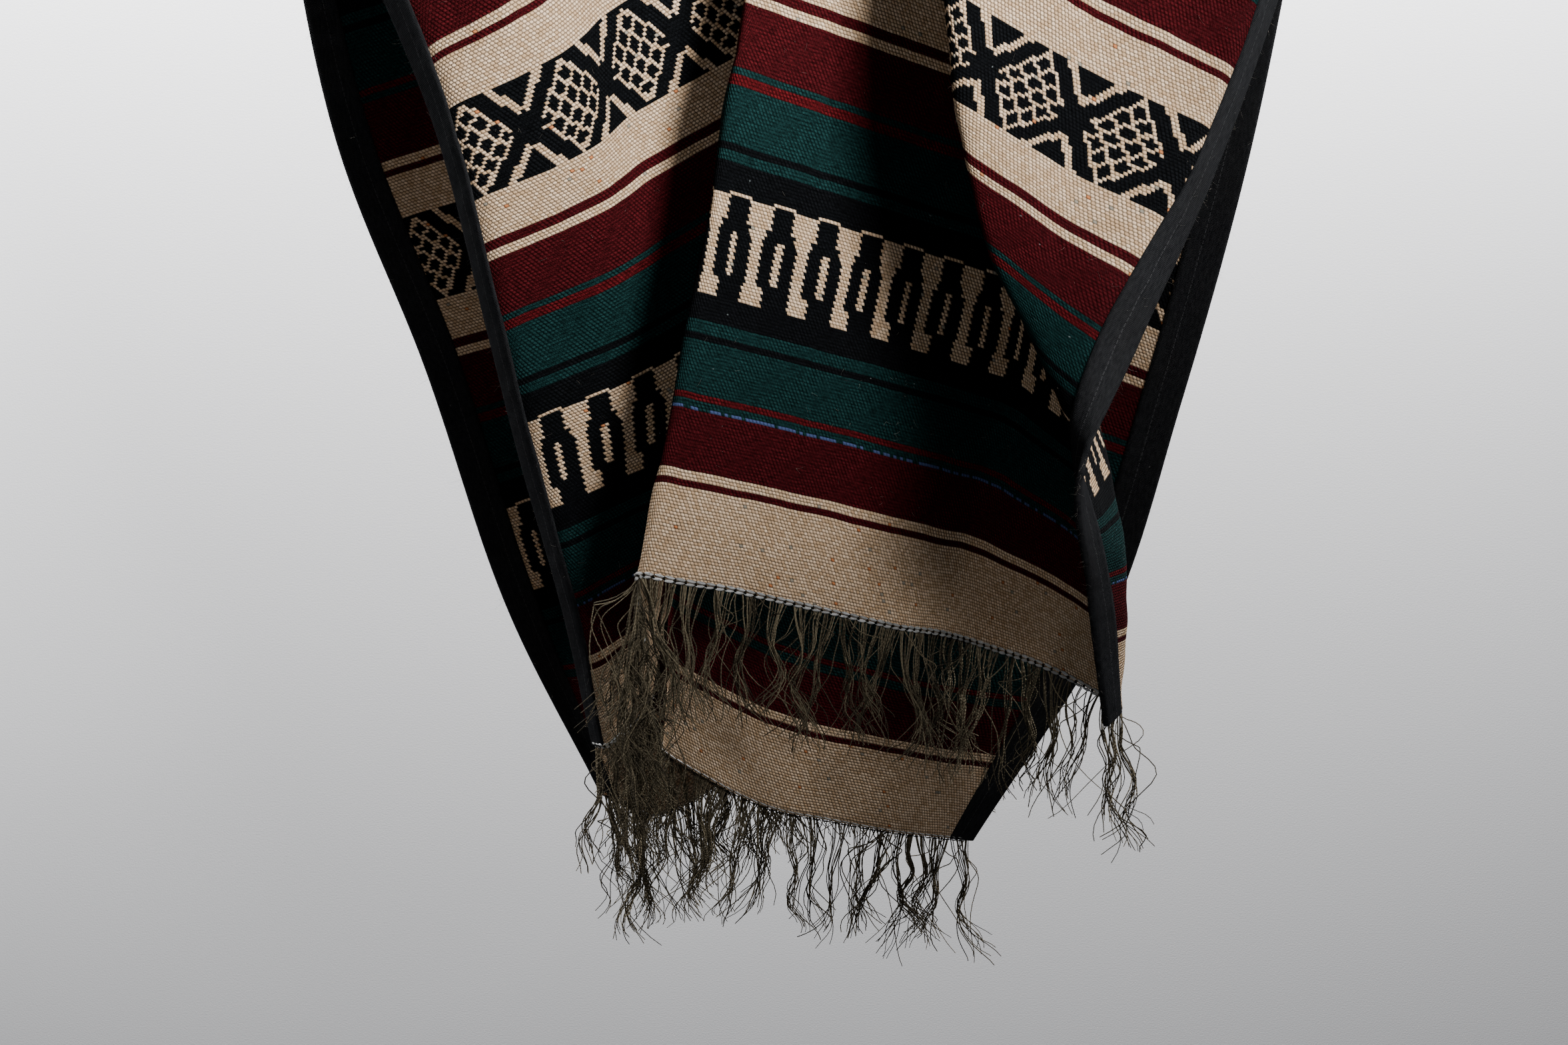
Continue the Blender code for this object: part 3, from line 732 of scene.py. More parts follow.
def diamond_mask(n, u, v, place):
    """One on the black figures of the diamond band; place is the distance from its middle line."""
    x = n.math("PINGPONG", n.minus(u, DIAMOND_FIRST_U), DIAMOND_HALF_PITCH)
    slope = DIAMOND_HALF_HEIGHT / ARM_RUN
    above = n.minus(place, n.times(x, slope))
    steep = math.hypot(1.0, slope)
    arm = n.math("LESS_THAN", n.math("ABSOLUTE", above), ARM_HALF_WIDTH * steep)
    hub = n.math("LESS_THAN", n.plus(x, place), HUB_REACH)
    wedge_rise = n.minus(place, WEDGE_START)
    wedge = n.math("LESS_THAN", x, n.times(wedge_rise, WEDGE_SPREAD))
    below = n.math("LESS_THAN", above, -LATTICE_INSET * steep)
    across = n.minus(x, DIAMOND_HALF_PITCH)
    rising = n.math("PINGPONG", n.plus(across, place), LATTICE_HALF_PITCH)
    falling = n.math("PINGPONG", n.minus(across, place), LATTICE_HALF_PITCH)
    solid = n.math("GREATER_THAN", n.math("MINIMUM", rising, falling), LATTICE_HALF_LINE)
    lattice = n.times(below, solid)
    mask = n.math("MAXIMUM", n.math("MAXIMUM", arm, hub), n.math("MAXIMUM", wedge, lattice))
    mask = n.times(mask, n.math("LESS_THAN", place, DIAMOND_HALF_HEIGHT))
    return n.times(mask, n.math("GREATER_THAN", v, FIGURES_FROM_V))


def cloth_material(name, blue_share):
    props = bpy.context.scene.poncho_cloth
    colours = {
        "cream": tuple(props.cream), "maroon": tuple(props.maroon), "red": tuple(props.red),
        "teal": tuple(props.teal), "black": tuple(props.black),
    }
    made, n, shader = new_material(name, 0.95)
    u, v = n.uv()
    wander = n.math("MULTIPLY_ADD", n.noise(n.stretched(u, v, 30.0, 3.0), 1.0),
                    0.0022, v)
    cells = n.group(yarn_cells_group(), U=u, V=wander, Width=CELL_WIDTH, Height=CELL_HEIGHT,
                    Slant=CELL_SLANT)
    middle_u, middle_v, relief, own = cells[0], cells[1], cells[2], cells[3]
    place = n.math("PINGPONG", middle_v, STRIPE_HALF_REPEAT)
    band, cream = stripe_ramp(n, place, colours)
    pillars = n.times(pillar_mask(n, middle_u, middle_v), n.math("GREATER_THAN", place, PILLARS_FROM))
    figures = diamond_mask(n, middle_u, middle_v, place)
    band = n.mix(pillars, band, colours["cream"])
    band = n.mix(figures, band, colours["black"])
    cream = n.times(n.math("MAXIMUM", cream, pillars), n.minus(1.0, figures))
    flecks = n.group(fleck_group(), U=u, V=v)
    # Cream yarns differ one by one, with a few orange and grey ones
    pale = n.mix(n.range(own, 0.0, 1.0, 0.0, 0.85), n.mix(0.34, band, CREAM_LOW),
                 n.mix(0.20, band, CREAM_HIGH))
    pale = n.mix(n.math("GREATER_THAN", own, 0.9965), pale, ORANGE_YARN)
    pale = n.mix(n.math("LESS_THAN", own, 0.005), pale, GREY_YARN)
    # Coloured yarns are streaked along their length and carry brighter fibres
    # Painted shade and light: the twill's diagonal grooves are darkened and its ridges lightened in
    # the colour
    twill = n.plus(n.math("DIVIDE", u, TWILL_RUN), n.math("DIVIDE", v, TWILL_RISE))
    twill_shade = n.range(n.math("SINE", n.times(twill, 2 * math.pi)), -0.9, 0.3, 0.55, 1.1)
    shade = n.times(n.range(flecks[0], 0.30, 0.72, 0.50, 1.6), twill_shade)
    deep = n.mix(1.0, band, n.vector(shade, shade, shade), blend="MULTIPLY")
    deep = n.mix(n.times(flecks[1], 0.55), deep, n.mix(0.75, band, (3.2, 3.2, 3.2), blend="MULTIPLY"))
    deep = n.mix(n.times(flecks[2], 0.5), deep, BRIGHT_FIBRE)
    # A broken light-blue yarn runs along the near panel's lowest teal line
    blue = n.times(n.inside(middle_v, *BLUE_YARN_V), n.math("GREATER_THAN", own, 0.36))
    deep = n.mix(n.times(blue, blue_share), deep, BLUE_YARN)
    colour = n.mix(cream, deep, pale)
    # Painted shade: the colour is darkened in the hollows between the yarn cells, more on cream than
    # on the coloured yarns
    hollow_shade = n.math("MULTIPLY_ADD", n.minus(1.0, relief), -0.72, 1.0)
    soft_hollow_shade = n.math("MULTIPLY_ADD", n.minus(1.0, relief), -0.45, 1.0)
    yarn_gap_shade = n.plus(n.times(hollow_shade, cream),
                 n.times(soft_hollow_shade, n.minus(1.0, cream)))
    colour = n.mix(1.0, colour, n.vector(yarn_gap_shade, yarn_gap_shade, yarn_gap_shade), blend="MULTIPLY")
    n.feed(shader.inputs["Base Color"], colour)
    fibre = n.noise(n.stretched(u, v, 900.0, 2200.0), 1.0, 2.0)
    height = n.math("MULTIPLY_ADD", fibre, 0.28, relief)
    add_bump(n, shader, height, 0.0011)
    return made


def tape_material():
    """Black ribbed tape: across its width in U, from the folded edge, and along it in V."""
    made, n, shader = new_material("ribbed_tape", 0.95, specular=0.0)
    u, v = n.uv()
    rib = n.math("SINE", n.times(v, 2 * math.pi / TAPE_RIB))
    cells = n.group(yarn_cells_group(), U=u, V=v, Width=0.0016, Height=TAPE_RIB, Slant=0.0)
    flecks = n.group(fleck_group(), U=v, V=u)
    base = n.mix(n.range(flecks[0], 0.3, 0.7), TAPE_DARK, TAPE_PALE)
    worn = n.noise(n.stretched(u, v, 40.0, 14.0), 1.0, 3.0)
    base = n.mix(n.range(worn, 0.5, 0.75, 0.0, 0.35), base, TAPE_WORN)
    seam = n.inside(n.math("ABSOLUTE", n.minus(u, SEAM_U)), -1.0, 0.00035)
    stitch = n.math("GREATER_THAN", n.math("FLOORED_MODULO", v, STITCH_PITCH), 0.0012)
    base = n.mix(n.times(n.times(seam, stitch), 0.55), base, TAPE_THREAD)
    base = n.mix(n.times(flecks[2], 0.6), base, TAPE_LINT)
    n.feed(shader.inputs["Base Color"], base)
    height = n.plus(n.times(rib, 0.20), n.times(cells[2], 0.6))
    height = n.minus(height, n.times(seam, 0.9))
    add_bump(n, shader, height, 0.0004)
    return made


def strand_material(name, dark, pale, roughness, specular=0.03):
    """Thin yarn: each strand has its own shade, and fine bands twist round it."""
    made, n, shader = new_material(name, roughness, specular)
    own, share = n.uv()
    twist = n.math("SINE", n.times(share, 260.0))
    amount = n.math("MULTIPLY_ADD", twist, 0.10, own)
    n.feed(shader.inputs["Base Color"], n.mix(amount, dark, pale))
    add_bump(n, shader, twist, 0.0002)
    return made


def wood_material():
    made, n, shader = new_material("varnished_wood", 0.42, specular=0.5)
    place = n.add("ShaderNodeTexCoord").outputs["Object"]
    stretch = n.add("ShaderNodeMapping")
    stretch.inputs["Scale"].default_value = (4.0, 60.0, 60.0)
    n.feed(stretch.inputs[0], place)
    grain = n.noise(stretch.outputs[0], 2.0, 6.0, 0.6)
    varnish = n.mix(n.range(grain, 0.3, 0.7), (0.30, 0.16, 0.07), (0.55, 0.36, 0.19))
    n.feed(shader.inputs["Base Color"], varnish)
    n.feed(shader.inputs["Roughness"], n.range(grain, 0.3, 0.7, 0.36, 0.52))
    add_bump(n, shader, grain, 0.0003)
    return made


def steel_material():
    made, n, shader = new_material("hook_wire", 0.3, specular=0.5)
    shader.inputs["Metallic"].default_value = 1.0
    place = n.add("ShaderNodeTexCoord").outputs["Object"]
    wear = n.noise(place, 300.0, 3.0)
    n.feed(shader.inputs["Base Color"], n.mix(wear, (0.50, 0.50, 0.50), (0.72, 0.72, 0.71)))
    n.feed(shader.inputs["Roughness"], n.range(wear, 0.3, 0.7, 0.22, 0.42))
    return made


def wall_material(colour):
    made, n, shader = new_material("painted_wall", 0.95)
    place = n.add("ShaderNodeTexCoord").outputs["Object"]
    shade = tuple(channel * 0.985 for channel in colour)
    n.feed(shader.inputs["Base Color"], n.mix(n.noise(place, 1.4, 2.0), colour, shade))
    add_bump(n, shader, n.noise(place, 600.0, 2.0), 0.0001)
    return made


def shared(name, make):
    """The named material, made the first time it is asked for."""
    return bpy.data.materials.get(name) or make()


def panel_uv(panel, rows, u):
    """u and v of each grid point, in metres."""
    v = cloth_length(panel, u)[None, :] * (1 - rows[:, None])
    return np.broadcast_to(u[None, :], v.shape), v


def relief_at(panel, u, v):
    """Height of the creases and the swell, faded out at the hanger and under the side tapes."""
    height = crease_heights(panel.creases, u, v) + ripple(u, v, panel.swell_seed, SWELL_SIZE)
    inner = np.clip(np.minimum(u, CLOTH_WIDTH - u) / EDGE_FADE, 0, 1)
    low = np.clip((panel.drop - 0.12 - v) / 0.15, 0, 1)
    return height * inner * low


def creased_grid(panel, rows, u):
    points, normals = cloth_grid(panel, rows, u)
    across, up = panel_uv(panel, rows, u)
    points = points + normals * relief_at(panel, across, up)[..., None]
    return points, grid_normals(panel, points)


def cloth_columns(pitch):
    """Columns across the cloth, with a pair at the slit's edges."""
    count = round((MIDDLE - SLIT_HALF) / pitch) + 1
    left = np.linspace(0, MIDDLE - SLIT_HALF, count)
    return np.concatenate([left, CLOTH_WIDTH - left[::-1]])


def make_panel(panel):
    props = bpy.context.scene.poncho_cloth
    u = cloth_columns(props.grid_pitch)
    rows = np.linspace(0, 1, round(panel.drop / props.grid_pitch) + 1)
    points, normals = creased_grid(panel, rows, u)
    kept = np.ones((len(rows) - 1, len(u) - 1), bool)
    kept[rows[1:] * panel.drop <= SLIT_REACH, len(u) // 2 - 1] = False
    vertices, faces = shell(points, normals, kept, CLOTH_THICK, panel is FAR)
    across, up = panel_uv(panel, rows, u)
    uv = np.stack([across.ravel(), up.ravel()], axis=1)
    finish = cloth_material(f"woven_{panel.name}", panel.blue)
    made = new_mesh(f"cloth_{panel.name}", vertices, faces, [finish], np.vstack([uv, uv]))
    return settle(made, "cloth", f"panel_{panel.name}")


def tape_rows(panel, end):
    """Rows of r from the shoulder to end, in metres down the cloth."""
    count = max(2, round(end / TAPE_ROW_PITCH) + 1)
    return np.linspace(0.0, end, count) / panel.drop


def make_tape(name, node, edge_u, inward, width, reach):
    """Tape folded round an edge: inward is the way from the edge into the cloth, as a sign."""
    steps = np.array(TAPE_STEPS) * width
    u = edge_u + inward * steps
    order = np.argsort(u)
    grids = []
    for panel in (FAR, NEAR):
        end = panel.drop if reach is None else reach
        rows = tape_rows(panel, end)
        points, normals = creased_grid(panel, rows, u[order])
        back = np.argsort(order)
        points, normals = points[:, back], normals[:, back]
        if panel is FAR:
            points, normals = points[:0:-1], normals[:0:-1]
        grids.append((points, normals))
    points = np.concatenate([grid[0] for grid in grids])
    normals = np.concatenate([grid[1] for grid in grids])
    normals[1:-1] = normals[:-2] + normals[1:-1] * 2 + normals[2:]
    normals = unit(normals)
    lengths = np.linalg.norm(np.diff(points[:, 0], axis=0), axis=1)
    along = np.concatenate([[0.0], np.cumsum(lengths)])
    rng = np.random.default_rng(len(name) * 31)
    phases = rng.uniform(0, 2 * math.pi, 6)
    rise = sum(np.sin(along[:, None] * (90 + 47 * k) + steps[None, :] * 120 * (k % 3) + phases[k])
               for k in range(6)) * TAPE_WAVE
    rise = rise * np.sin(np.clip(steps / width, 0, 1) * math.pi)[None, :]
    lift = CLOTH_THICK / 2 + TAPE_LIFT
    out = unit(points[:, 0] - points[:, 1])
    columns, across = [], []
    inner = CLOTH_THICK / 2 - TAPE_SINK
    columns.append(points[:, -1] + normals[:, -1] * inner)
    across.append(width)
    for k in range(len(steps) - 1, -1, -1):
        columns.append(points[:, k] + normals[:, k] * (lift + rise[:, k:k + 1]))
        across.append(steps[k])
    for share in (0.6, 0.0, -0.6):
        bulge = TAPE_BULGE * math.sqrt(1 - share * share)
        columns.append(points[:, 0] + normals[:, 0] * lift * share + out * (bulge + TAPE_EDGE_GAP))
        across.append(TAPE_EDGE_U)
    for k in range(len(steps)):
        columns.append(points[:, k] - normals[:, k] * (lift + rise[:, k:k + 1]))
        across.append(steps[k])
    columns.append(points[:, -1] - normals[:, -1] * inner)
    across.append(width)
    grid = np.stack(columns, axis=1)
    rows, count = grid.shape[:2]
    faces = grid_faces(rows, count).reshape(-1, 4)
    if inward > 0:
        faces = faces[:, ::-1]
    uv = np.stack([np.tile(np.array(across), rows), np.repeat(along, count)], axis=1)
    made = new_mesh(name, grid.reshape(-1, 3), faces, [shared("ribbed_tape", tape_material)], uv)
    return settle(made, "tape", node)


def hem_frame(panel, u):
    """Points, outward normals and down directions at the hem."""
    rows = np.array([0.990, 0.995, 1.0])
    order = np.argsort(u)
    points, normals = creased_grid(panel, rows, u[order])
    back = np.argsort(order)
    hem, above = points[-1], points[0]
    along = unit(np.gradient(hem, axis=0))
    down = hem - above
    down -= along * (down * along).sum(axis=1, keepdims=True)
    return hem[back], normals[-1][back], unit(down)[back]


def make_fringe(panel, seed):
    """Loose warp ends, gathered into uneven locks that hang, curl and splay."""
    props = bpy.context.scene.poncho_fringe
    rng = np.random.default_rng(seed)
    count = props.strands
    u = np.sort(rng.uniform(FRINGE_INSET, CLOTH_WIDTH - FRINGE_INSET, count))
    hem, _, down = hem_frame(panel, u)
    edges = np.cumsum(rng.uniform(*LOCK_WIDTH, LOCK_COUNT))
    lock = np.searchsorted(edges, u)
    locks = lock.max() + 1
    lock_root = np.array([hem[lock == k].mean(axis=0) if (lock == k).any() else hem[0]
                          for k in range(locks)])
    lean = rng.normal(0, LOCK_LEAN, (locks, 2))
    curl = rng.uniform(*LOCK_CURL, (locks, 2))
    turns = rng.uniform(*LOCK_TURNS, (locks, 2))
    phase = rng.uniform(0, 2 * math.pi, (locks, 2))
    length = FRINGE_LENGTH * rng.uniform(0.86, 1.06, locks)[lock] * rng.uniform(0.80, 1.04, count)
    t = np.linspace(0, 1, props.points)[None, :]
    gather = 1 - LOCK_GATHER * np.clip(t * 2.6, 0, 1) ** 0.7
    splay = np.clip(t - 0.45, 0, 1) ** 2 * SPLAY
    paths = np.zeros((count, props.points, 3))
    start = hem - lock_root[lock]
    paths += lock_root[lock][:, None] + start[:, None] * gather[..., None]
    leave = ROOT_LENGTH * (1 - np.exp(-t * 9))
    paths += down[:, None] * leave[..., None]
    paths[..., 2] -= (length[:, None] - ROOT_LENGTH) * t
    for axis in (0, 1):
        own = rng.normal(0, 1, (count, 1))
        swing = lean[lock, axis][:, None] * t * length[:, None]
        wave = curl[lock, axis][:, None] * np.sin(2 * math.pi * turns[lock, axis][:, None] * t
                                                  + phase[lock, axis][:, None]) * t**0.8
        fine = rng.uniform(0.0008, 0.0034, (count, 1)) * np.sin(
            rng.uniform(6, 19, (count, 1)) * t + rng.uniform(0, 6.3, (count, 1))) * np.sqrt(t)
        paths[..., axis] += swing + wave + fine + own * splay
    # A few strands leave their lock in a wide loop
    loose = np.flatnonzero(rng.uniform(0, 1, count) < props.loose)
    bow = rng.uniform(*LOOSE_BOW, (len(loose), 1)) * rng.choice([-1, 1], (len(loose), 1))
    back = rng.uniform(-0.010, 0.004, (len(loose), 1)) * (1 if panel is NEAR else -0.6)
    wide = np.clip(t * rng.uniform(1.0, 1.5, (len(loose), 1)), 0, 1.6)
    paths[loose, :, 0] += bow * np.sin(math.pi * wide)
    paths[loose, :, 1] += back * np.sin(math.pi * t)
    paths[loose, :, 2] += np.abs(bow) * 1.1 * np.sin(math.pi * t) ** 2
    # Yarns swing freely along the hem, but only a little out of its plane
    swung = paths[..., 1] - hem[:, 1, None]
    paths[..., 1] = hem[:, 1, None] + STRAND_SWING * np.tanh(swung / STRAND_SWING)
    radii = rng.uniform(*YARN_RADIUS, (count, 1)) * (1 - 0.30 * t**3)
    vertices, faces, share = tubes(paths, radii, 3)
    yarn = shared("fringe_yarn", fringe_material)
    made = new_mesh(f"strands_{panel.name}", vertices, faces, [yarn], strand_uv(share, count, rng))
    return settle(made, "yarn", f"fringe_{panel.name}")


def fringe_material():
    return strand_material("fringe_yarn", (0.020, 0.016, 0.010), (0.125, 0.102, 0.064), 0.62,
                           specular=0.12)


def cord_material():
    return strand_material("hem_cord_white", (0.55, 0.54, 0.52), (0.85, 0.85, 0.84), 0.8)


def cord_dark_material():
    return strand_material("hem_cord_dark", (0.008, 0.007, 0.005), (0.028, 0.022, 0.014), 0.85)


def make_hem_cord(panel):
    """The twined edge: two rows of short floats, with dark yarn crossing between them.

    The floats are pale, apart from the far panel's lower row, which is dark.
    """
    pitch = CORD_PITCH
    count = int((CLOTH_WIDTH - 2 * CORD_INSET) / pitch)
    starts = CORD_INSET + pitch * np.arange(count)
    rng = np.random.default_rng(panel.cord_seed)
    share = np.linspace(0, 1, 6)
    vertices, faces, uvs, finish = [], [], [], []
    total = 0
    # Distance below the hem, distance out from the cloth, slant, and one for the crossing yarn
    lines = ((-0.0016, 0.0019, 0.0006, 0), (0.0012, 0.0010, -0.0006, 0),
             (-0.0002, 0.0019, 0.0024, 1))
    for drop, lift, slant, crossing in lines:
        shift = rng.normal(0, 0.0003, (count, 1))
        spans = starts[:, None] + shift + pitch * (share[None, :] * 0.92 + 0.04)
        if crossing:
            spans = starts[:, None] + pitch * (0.9 + 0.22 * share[None, :])
        flat = np.clip(spans.ravel(), 0.0005, CLOTH_WIDTH - 0.0005)
        hem, normal, down = hem_frame(panel, flat)
        face = -panel.side
        fall = drop + slant * (np.tile(share, count) - 0.5)
        paths = hem + down * fall[:, None] + normal * face * lift
        paths = paths.reshape(count, len(share), 3)
        bulge = np.sqrt(np.clip(1 - (2 * share - 1) ** 2, 0.05, 1))[None, :]
        radius = panel.cord_radius * (0.75 if crossing else 1.0)
        radii = radius * bulge * rng.uniform(0.85, 1.1, (count, 1))
        points, quads, along = tubes(paths, radii, 6)
        vertices.append(points)
        faces.append(quads + total)
        uvs.append(strand_uv(along, count, rng))
        dark = crossing == 1 or (panel is FAR and drop > 0)
        finish.append(np.full(len(quads), int(dark)))
        total += len(points)
    paints = [shared("hem_cord_white", cord_material), shared("hem_cord_dark", cord_dark_material)]
    made = new_mesh(f"hem_cord_{panel.name}", np.vstack(vertices), np.vstack(faces), paints,
                    np.vstack(uvs), np.concatenate(finish))
    return settle(made, "yarn")


def make_fibres():
    """Short fuzz that stands off both faces of the cloth and off its side edges."""
    props = bpy.context.scene.poncho_fringe
    rng = np.random.default_rng(77)
    starts, outs, lengths = [], [], []
    for panel, share in ((NEAR, 0.62), (FAR, 0.38)):
        count = int(props.fibres * share)
        rows = np.sort(rng.uniform(0.22, 0.995, 60))
        u = np.sort(rng.uniform(0.001, CLOTH_WIDTH - 0.001, 90))
        points, normals = creased_grid(panel, rows, u)
        i, j = rng.integers(0, 60, count), rng.integers(0, 90, count)
        side = np.where(rng.uniform(0, 1, count) < 0.75, 1.0, -1.0)[:, None]
        starts.append(points[i, j] + normals[i, j] * side * CLOTH_THICK / 2)
        outs.append(normals[i, j] * side)
        lengths.append(rng.uniform(0.002, 0.006, count))
        edge = count // 2
        for edge_u, way in ((0.0, -1.0), (CLOTH_WIDTH, 1.0)):
            two = np.array([edge_u, edge_u - way * 0.004])
            at = np.sort(rng.uniform(0.25, 0.995, edge // 2))
            points, normals = creased_grid(panel, at, np.sort(two))
            k = 0 if way < 0 else 1
            out = unit(points[:, k] - points[:, 1 - k])
            starts.append(points[:, k] + out * 0.0016)
            outs.append(out)
            lengths.append(rng.uniform(0.0015, 0.005, len(at)))
    start, out, length = np.vstack(starts), np.vstack(outs), np.concatenate(lengths)
    count = len(start)
    t = np.linspace(0, 1, 5)[None, :, None]
    aside = rng.normal(0, 1, (count, 1, 3))
    bend = rng.normal(0, 1, (count, 1, 3))
    reach = length[:, None, None]
    way = out[:, None] * t * 0.55 + aside * t * 0.45 + bend * t**2 * 0.4
    paths = start[:, None] + reach * way
    radii = np.full((count, 5), FIBRE_RADIUS) * (1 - 0.6 * t[..., 0])
    vertices, faces, share = tubes(paths, radii, 3)
    fuzz = shared("stray_fibre", fibre_material)
    made = new_mesh("stray_fibres", vertices, faces, [fuzz], strand_uv(share, count, rng))
    return settle(made, "yarn")


def fibre_material():
    return strand_material("stray_fibre", (0.03, 0.03, 0.03), (0.45, 0.40, 0.34), 0.7)


def make_stage():
    props = bpy.context.scene.poncho_stage
    camera_data = bpy.data.cameras.new("photo_camera")
    camera_data.lens = CAMERA_LENS
    camera_data.sensor_width = CAMERA_SENSOR
    camera_data.sensor_fit = "HORIZONTAL"
    camera_data.clip_start = 0.02
    camera = bpy.data.objects.new("photo_camera", camera_data)
    camera.location = CAMERA_PLACE
    camera.rotation_euler = (math.pi / 2 - CAMERA_PITCH, 0.0, 0.0)
    bpy.context.collection.objects.link(camera)
    bpy.context.scene.camera = camera

    corners = [(-WALL_HALF, WALL_Y, -WALL_HALF), (WALL_HALF, WALL_Y, -WALL_HALF),
               (WALL_HALF, WALL_Y, WALL_HALF), (-WALL_HALF, WALL_Y, WALL_HALF)]
    wall = new_mesh("stage_wall", corners, [(0, 1, 2, 3)], [wall_material(tuple(props.wall))])

    # Name, place, point aimed at, size, spread in degrees and power of each soft light
    lights = (
        ("key", (0.92, -1.20, -0.20), (-0.14, -0.10, -0.44), (0.5, 0.45), 50, props.key),
        ("fill", (-0.6, -2.1, -0.4), (0.0, 0.0, -0.80), (1.4, 1.4), 120, props.fill),
        ("wall_top", (-0.20, 0.10, 0.02), (-0.20, WALL_Y, -0.45), (2.8, 0.2), 160, props.wall_light),
    )
    for name, place, aim, size, spread, power in lights:
        lamp = bpy.data.lights.new(name, "AREA")
        lamp.spread = math.radians(spread)
        lamp.shape = "RECTANGLE"
        lamp.size, lamp.size_y = size
        lamp.energy = power
        made = bpy.data.objects.new(name, lamp)
        made.location = place
        way = np.array(place) - np.array(aim)
        made.rotation_euler = (
            math.atan2(math.hypot(way[0], way[1]), way[2]), 0.0, math.atan2(way[0], -way[1]),
        )
        made.visible_camera = False
        bpy.context.collection.objects.link(made)
    world = bpy.context.scene.world or bpy.data.worlds.new("soft_room")
    bpy.context.scene.world = world
    world.use_nodes = True
    background = world.node_tree.nodes["Background"]
    background.inputs["Color"].default_value = (0.80, 0.86, 1.0, 1.0)
    background.inputs["Strength"].default_value = props.room


class PonchoClothProps(bpy.types.PropertyGroup):
    """Colours and fineness of the woven cloth."""

    grid_pitch: bpy.props.FloatProperty(
        name="Grid pitch", description="Distance between the cloth's mesh columns", default=0.005,
        min=0.004, max=0.02, unit="LENGTH")
    cream: bpy.props.FloatVectorProperty(
        name="Cream", description="Undyed weft", default=(0.60, 0.400, 0.235), size=3, subtype="COLOR")
    maroon: bpy.props.FloatVectorProperty(
        name="Maroon", description="Broad maroon bands", default=(0.042, 0.0038, 0.0052), size=3,
        subtype="COLOR")
    red: bpy.props.FloatVectorProperty(
        name="Red", description="Thin red bands", default=(0.062, 0.0046, 0.0060), size=3,
        subtype="COLOR")
    teal: bpy.props.FloatVectorProperty(
        name="Teal", description="Green bands", default=(0.0056, 0.0215, 0.0208), size=3,
        subtype="COLOR")
    black: bpy.props.FloatVectorProperty(
        name="Black", description="Black bands and figures", default=(0.0030, 0.0034, 0.0040), size=3,
        subtype="COLOR")


class PonchoFringeProps(bpy.types.PropertyGroup):
    """Numbers of loose yarns and fibres."""

    strands: bpy.props.IntProperty(
        name="Strands", description="Loose warp ends along each hem", default=640, min=100, max=2000)
    points: bpy.props.IntProperty(
        name="Points", description="Points along each strand", default=18, min=4, max=30)
    loose: bpy.props.FloatProperty(
        name="Loose share", description="Share of the strands that leave their lock in a loop",
        default=0.20, min=0.0, max=1.0, subtype="FACTOR")
    fibres: bpy.props.IntProperty(
        name="Fibres", description="Short fibres that stand off the cloth", default=2600,
        min=0, max=9000)


class PonchoStageProps(bpy.types.PropertyGroup):
    """Light and wall."""

    wall: bpy.props.FloatVectorProperty(
        name="Wall", description="Colour of the wall", default=(0.43, 0.43, 0.44), size=3,
        subtype="COLOR")
    key: bpy.props.FloatProperty(
        name="Key light", description="Soft light from the upper right", default=8.2, unit="POWER")
    fill: bpy.props.FloatProperty(
        name="Fill light", description="Weak light from near the camera", default=4.5, unit="POWER")
    wall_light: bpy.props.FloatProperty(
        name="Wall light", description="Light that washes the wall from above", default=188.0,
        unit="POWER")
    room: bpy.props.FloatProperty(
        name="Room light", description="Even light from all round", default=0.055)


class PONCHO_OT_stage(bpy.types.Operator):
    """Add the camera, the soft lights and the wall"""

    bl_idname = "poncho.stage"
    bl_label = "Add stage"

    def execute(self, context):
        make_stage()
        return {"FINISHED"}


class PONCHO_OT_cloth(bpy.types.Operator):
    """Add the near and far panels of the woven cloth, as thin shells"""

    bl_idname = "poncho.cloth"
    bl_label = "Add cloth"

    def execute(self, context):
        make_panel(NEAR)
        make_panel(FAR)
        return {"FINISHED"}


class PONCHO_OT_tapes(bpy.types.Operator):
    """Add the tape that binds the side edges and the neck slit"""

    bl_idname = "poncho.tapes"
    bl_label = "Add tapes"

    def execute(self, context):
        for name, edge_u, inward, width, reach in (
            ("left", 0.0, 1, TAPE_WIDTH, None),
            ("right", CLOTH_WIDTH, -1, TAPE_WIDTH, None),
            ("neck_left", MIDDLE - SLIT_HALF, -1, NECK_TAPE_WIDTH, SLIT_REACH),
            ("neck_right", MIDDLE + SLIT_HALF, 1, NECK_TAPE_WIDTH, SLIT_REACH),
        ):
            make_tape(f"tape_{name}", f"binding_{name}", edge_u, inward, width, reach)
        return {"FINISHED"}


class PONCHO_OT_fringes(bpy.types.Operator):
    """Add the loose warp ends and the twined cord at both hems"""

    bl_idname = "poncho.fringes"
    bl_label = "Add fringes"

    def execute(self, context):
        make_fringe(NEAR, 3)
        make_fringe(FAR, 4)
        make_hem_cord(NEAR)
        make_hem_cord(FAR)
        return {"FINISHED"}


class PONCHO_OT_fibres(bpy.types.Operator):
    """Add short fibres on the cloth and its side edges"""

    bl_idname = "poncho.fibres"
    bl_label = "Add fibres"

    def execute(self, context):
        make_fibres()
        return {"FINISHED"}


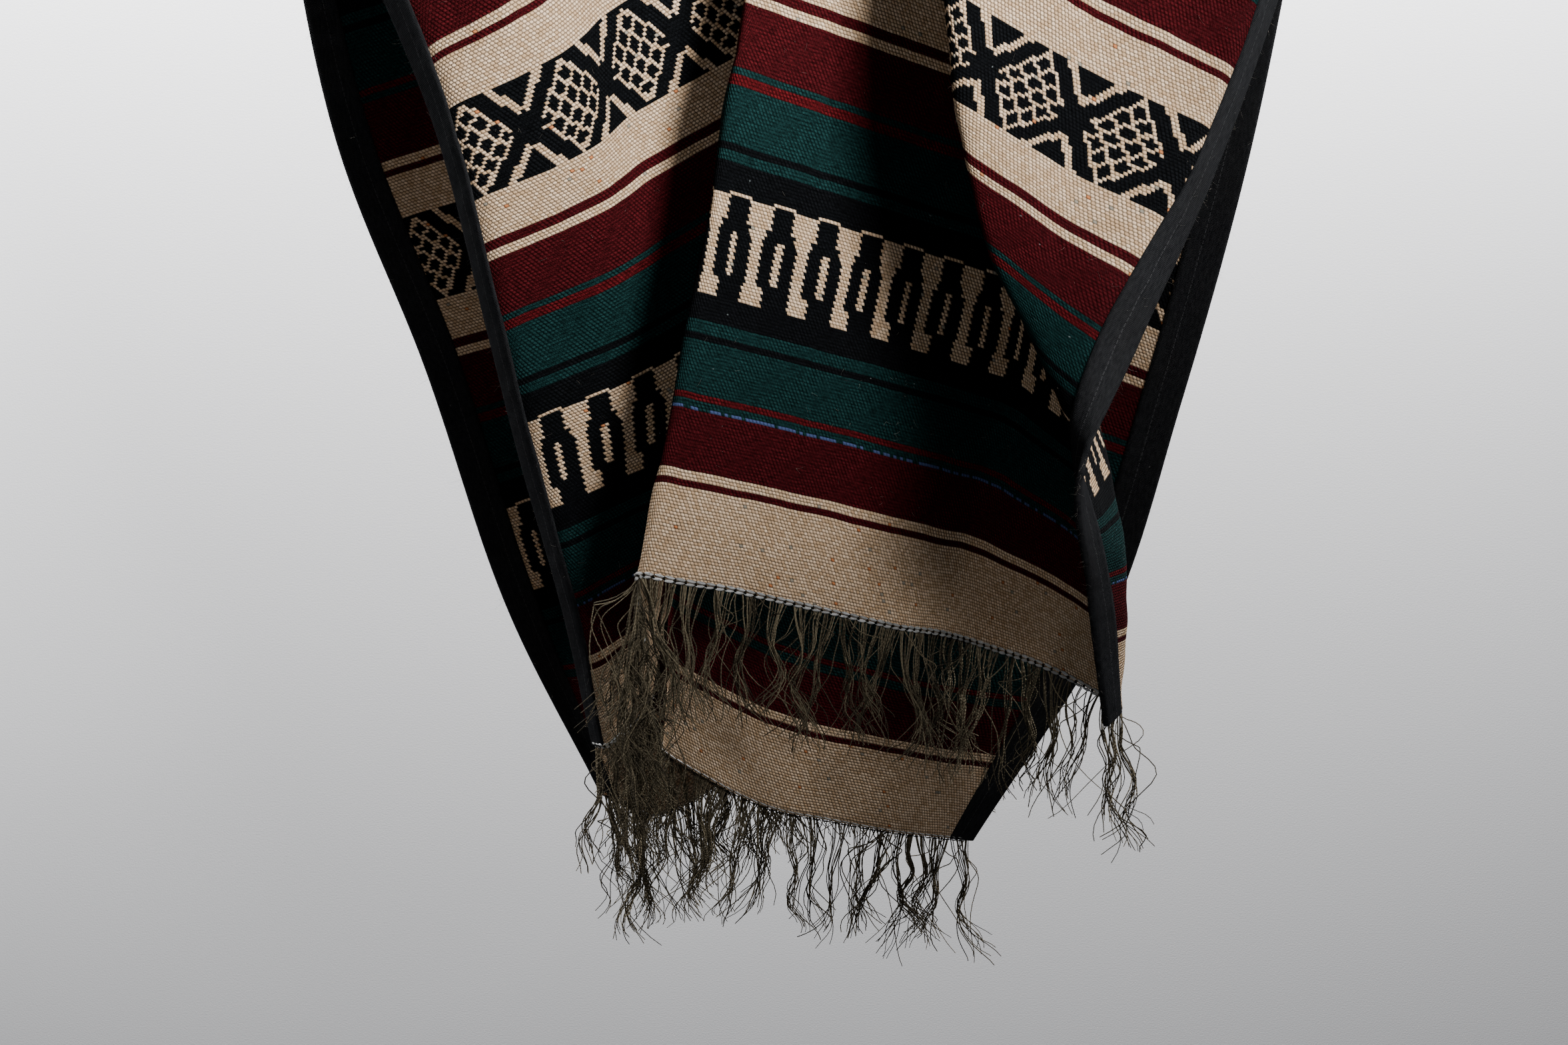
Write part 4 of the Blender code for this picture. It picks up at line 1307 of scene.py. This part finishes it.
class PONCHO_OT_hanger(bpy.types.Operator):
    """Give the hanger's own solids their wood and wire finishes"""

    bl_idname = "poncho.hanger"
    bl_label = "Finish hanger"

    def execute(self, context):
        for node, finish in (("hanger_arms", wood_material()), ("hanger_hook", steel_material())):
            slots = bpy.data.objects[node].data.materials
            slots.clear()
            slots.append(finish)
        return {"FINISHED"}


class PONCHO_OT_declare(bpy.types.Operator):
    """A step that does nothing and adds nothing to the scene"""

    bl_idname = "poncho.declare"
    bl_label = "Declare cloth"

    def execute(self, context):
        return {"FINISHED"}


class PONCHO_PT_panel(bpy.types.Panel):
    """Buttons for each group of pieces"""

    bl_idname = "PONCHO_PT_panel"
    bl_label = "Poncho"
    bl_space_type = "VIEW_3D"
    bl_region_type = "UI"
    bl_category = "Poncho"

    def draw(self, context):
        for group in ("poncho_cloth", "poncho_fringe", "poncho_stage"):
            props = getattr(context.scene, group)
            for name in props.__class__.__annotations__:
                self.layout.prop(props, name)
        for operator in OPERATORS:
            self.layout.operator(operator.bl_idname)


OPERATORS = (
    PONCHO_OT_stage, PONCHO_OT_cloth, PONCHO_OT_tapes, PONCHO_OT_fringes, PONCHO_OT_fibres,
    PONCHO_OT_hanger, PONCHO_OT_declare,
)
GROUPS = (PonchoClothProps, PonchoFringeProps, PonchoStageProps)


def register():
    for item in (*GROUPS, *OPERATORS, PONCHO_PT_panel):
        bpy.utils.register_class(item)
    bpy.types.Scene.poncho_cloth = bpy.props.PointerProperty(type=PonchoClothProps)
    bpy.types.Scene.poncho_fringe = bpy.props.PointerProperty(type=PonchoFringeProps)
    bpy.types.Scene.poncho_stage = bpy.props.PointerProperty(type=PonchoStageProps)


def unregister():
    for name in ("poncho_cloth", "poncho_fringe", "poncho_stage"):
        delattr(bpy.types.Scene, name)
    for item in (PONCHO_PT_panel, *reversed(OPERATORS), *reversed(GROUPS)):
        bpy.utils.unregister_class(item)


def main():
    register()
    bpy.ops.poncho.stage()
    bpy.ops.poncho.cloth()
    bpy.ops.poncho.tapes()
    bpy.ops.poncho.fringes()
    bpy.ops.poncho.fibres()
    bpy.ops.poncho.hanger()
    bpy.ops.poncho.declare()
    bpy.context.view_layer.update()


if __name__ == "__main__":
    main()
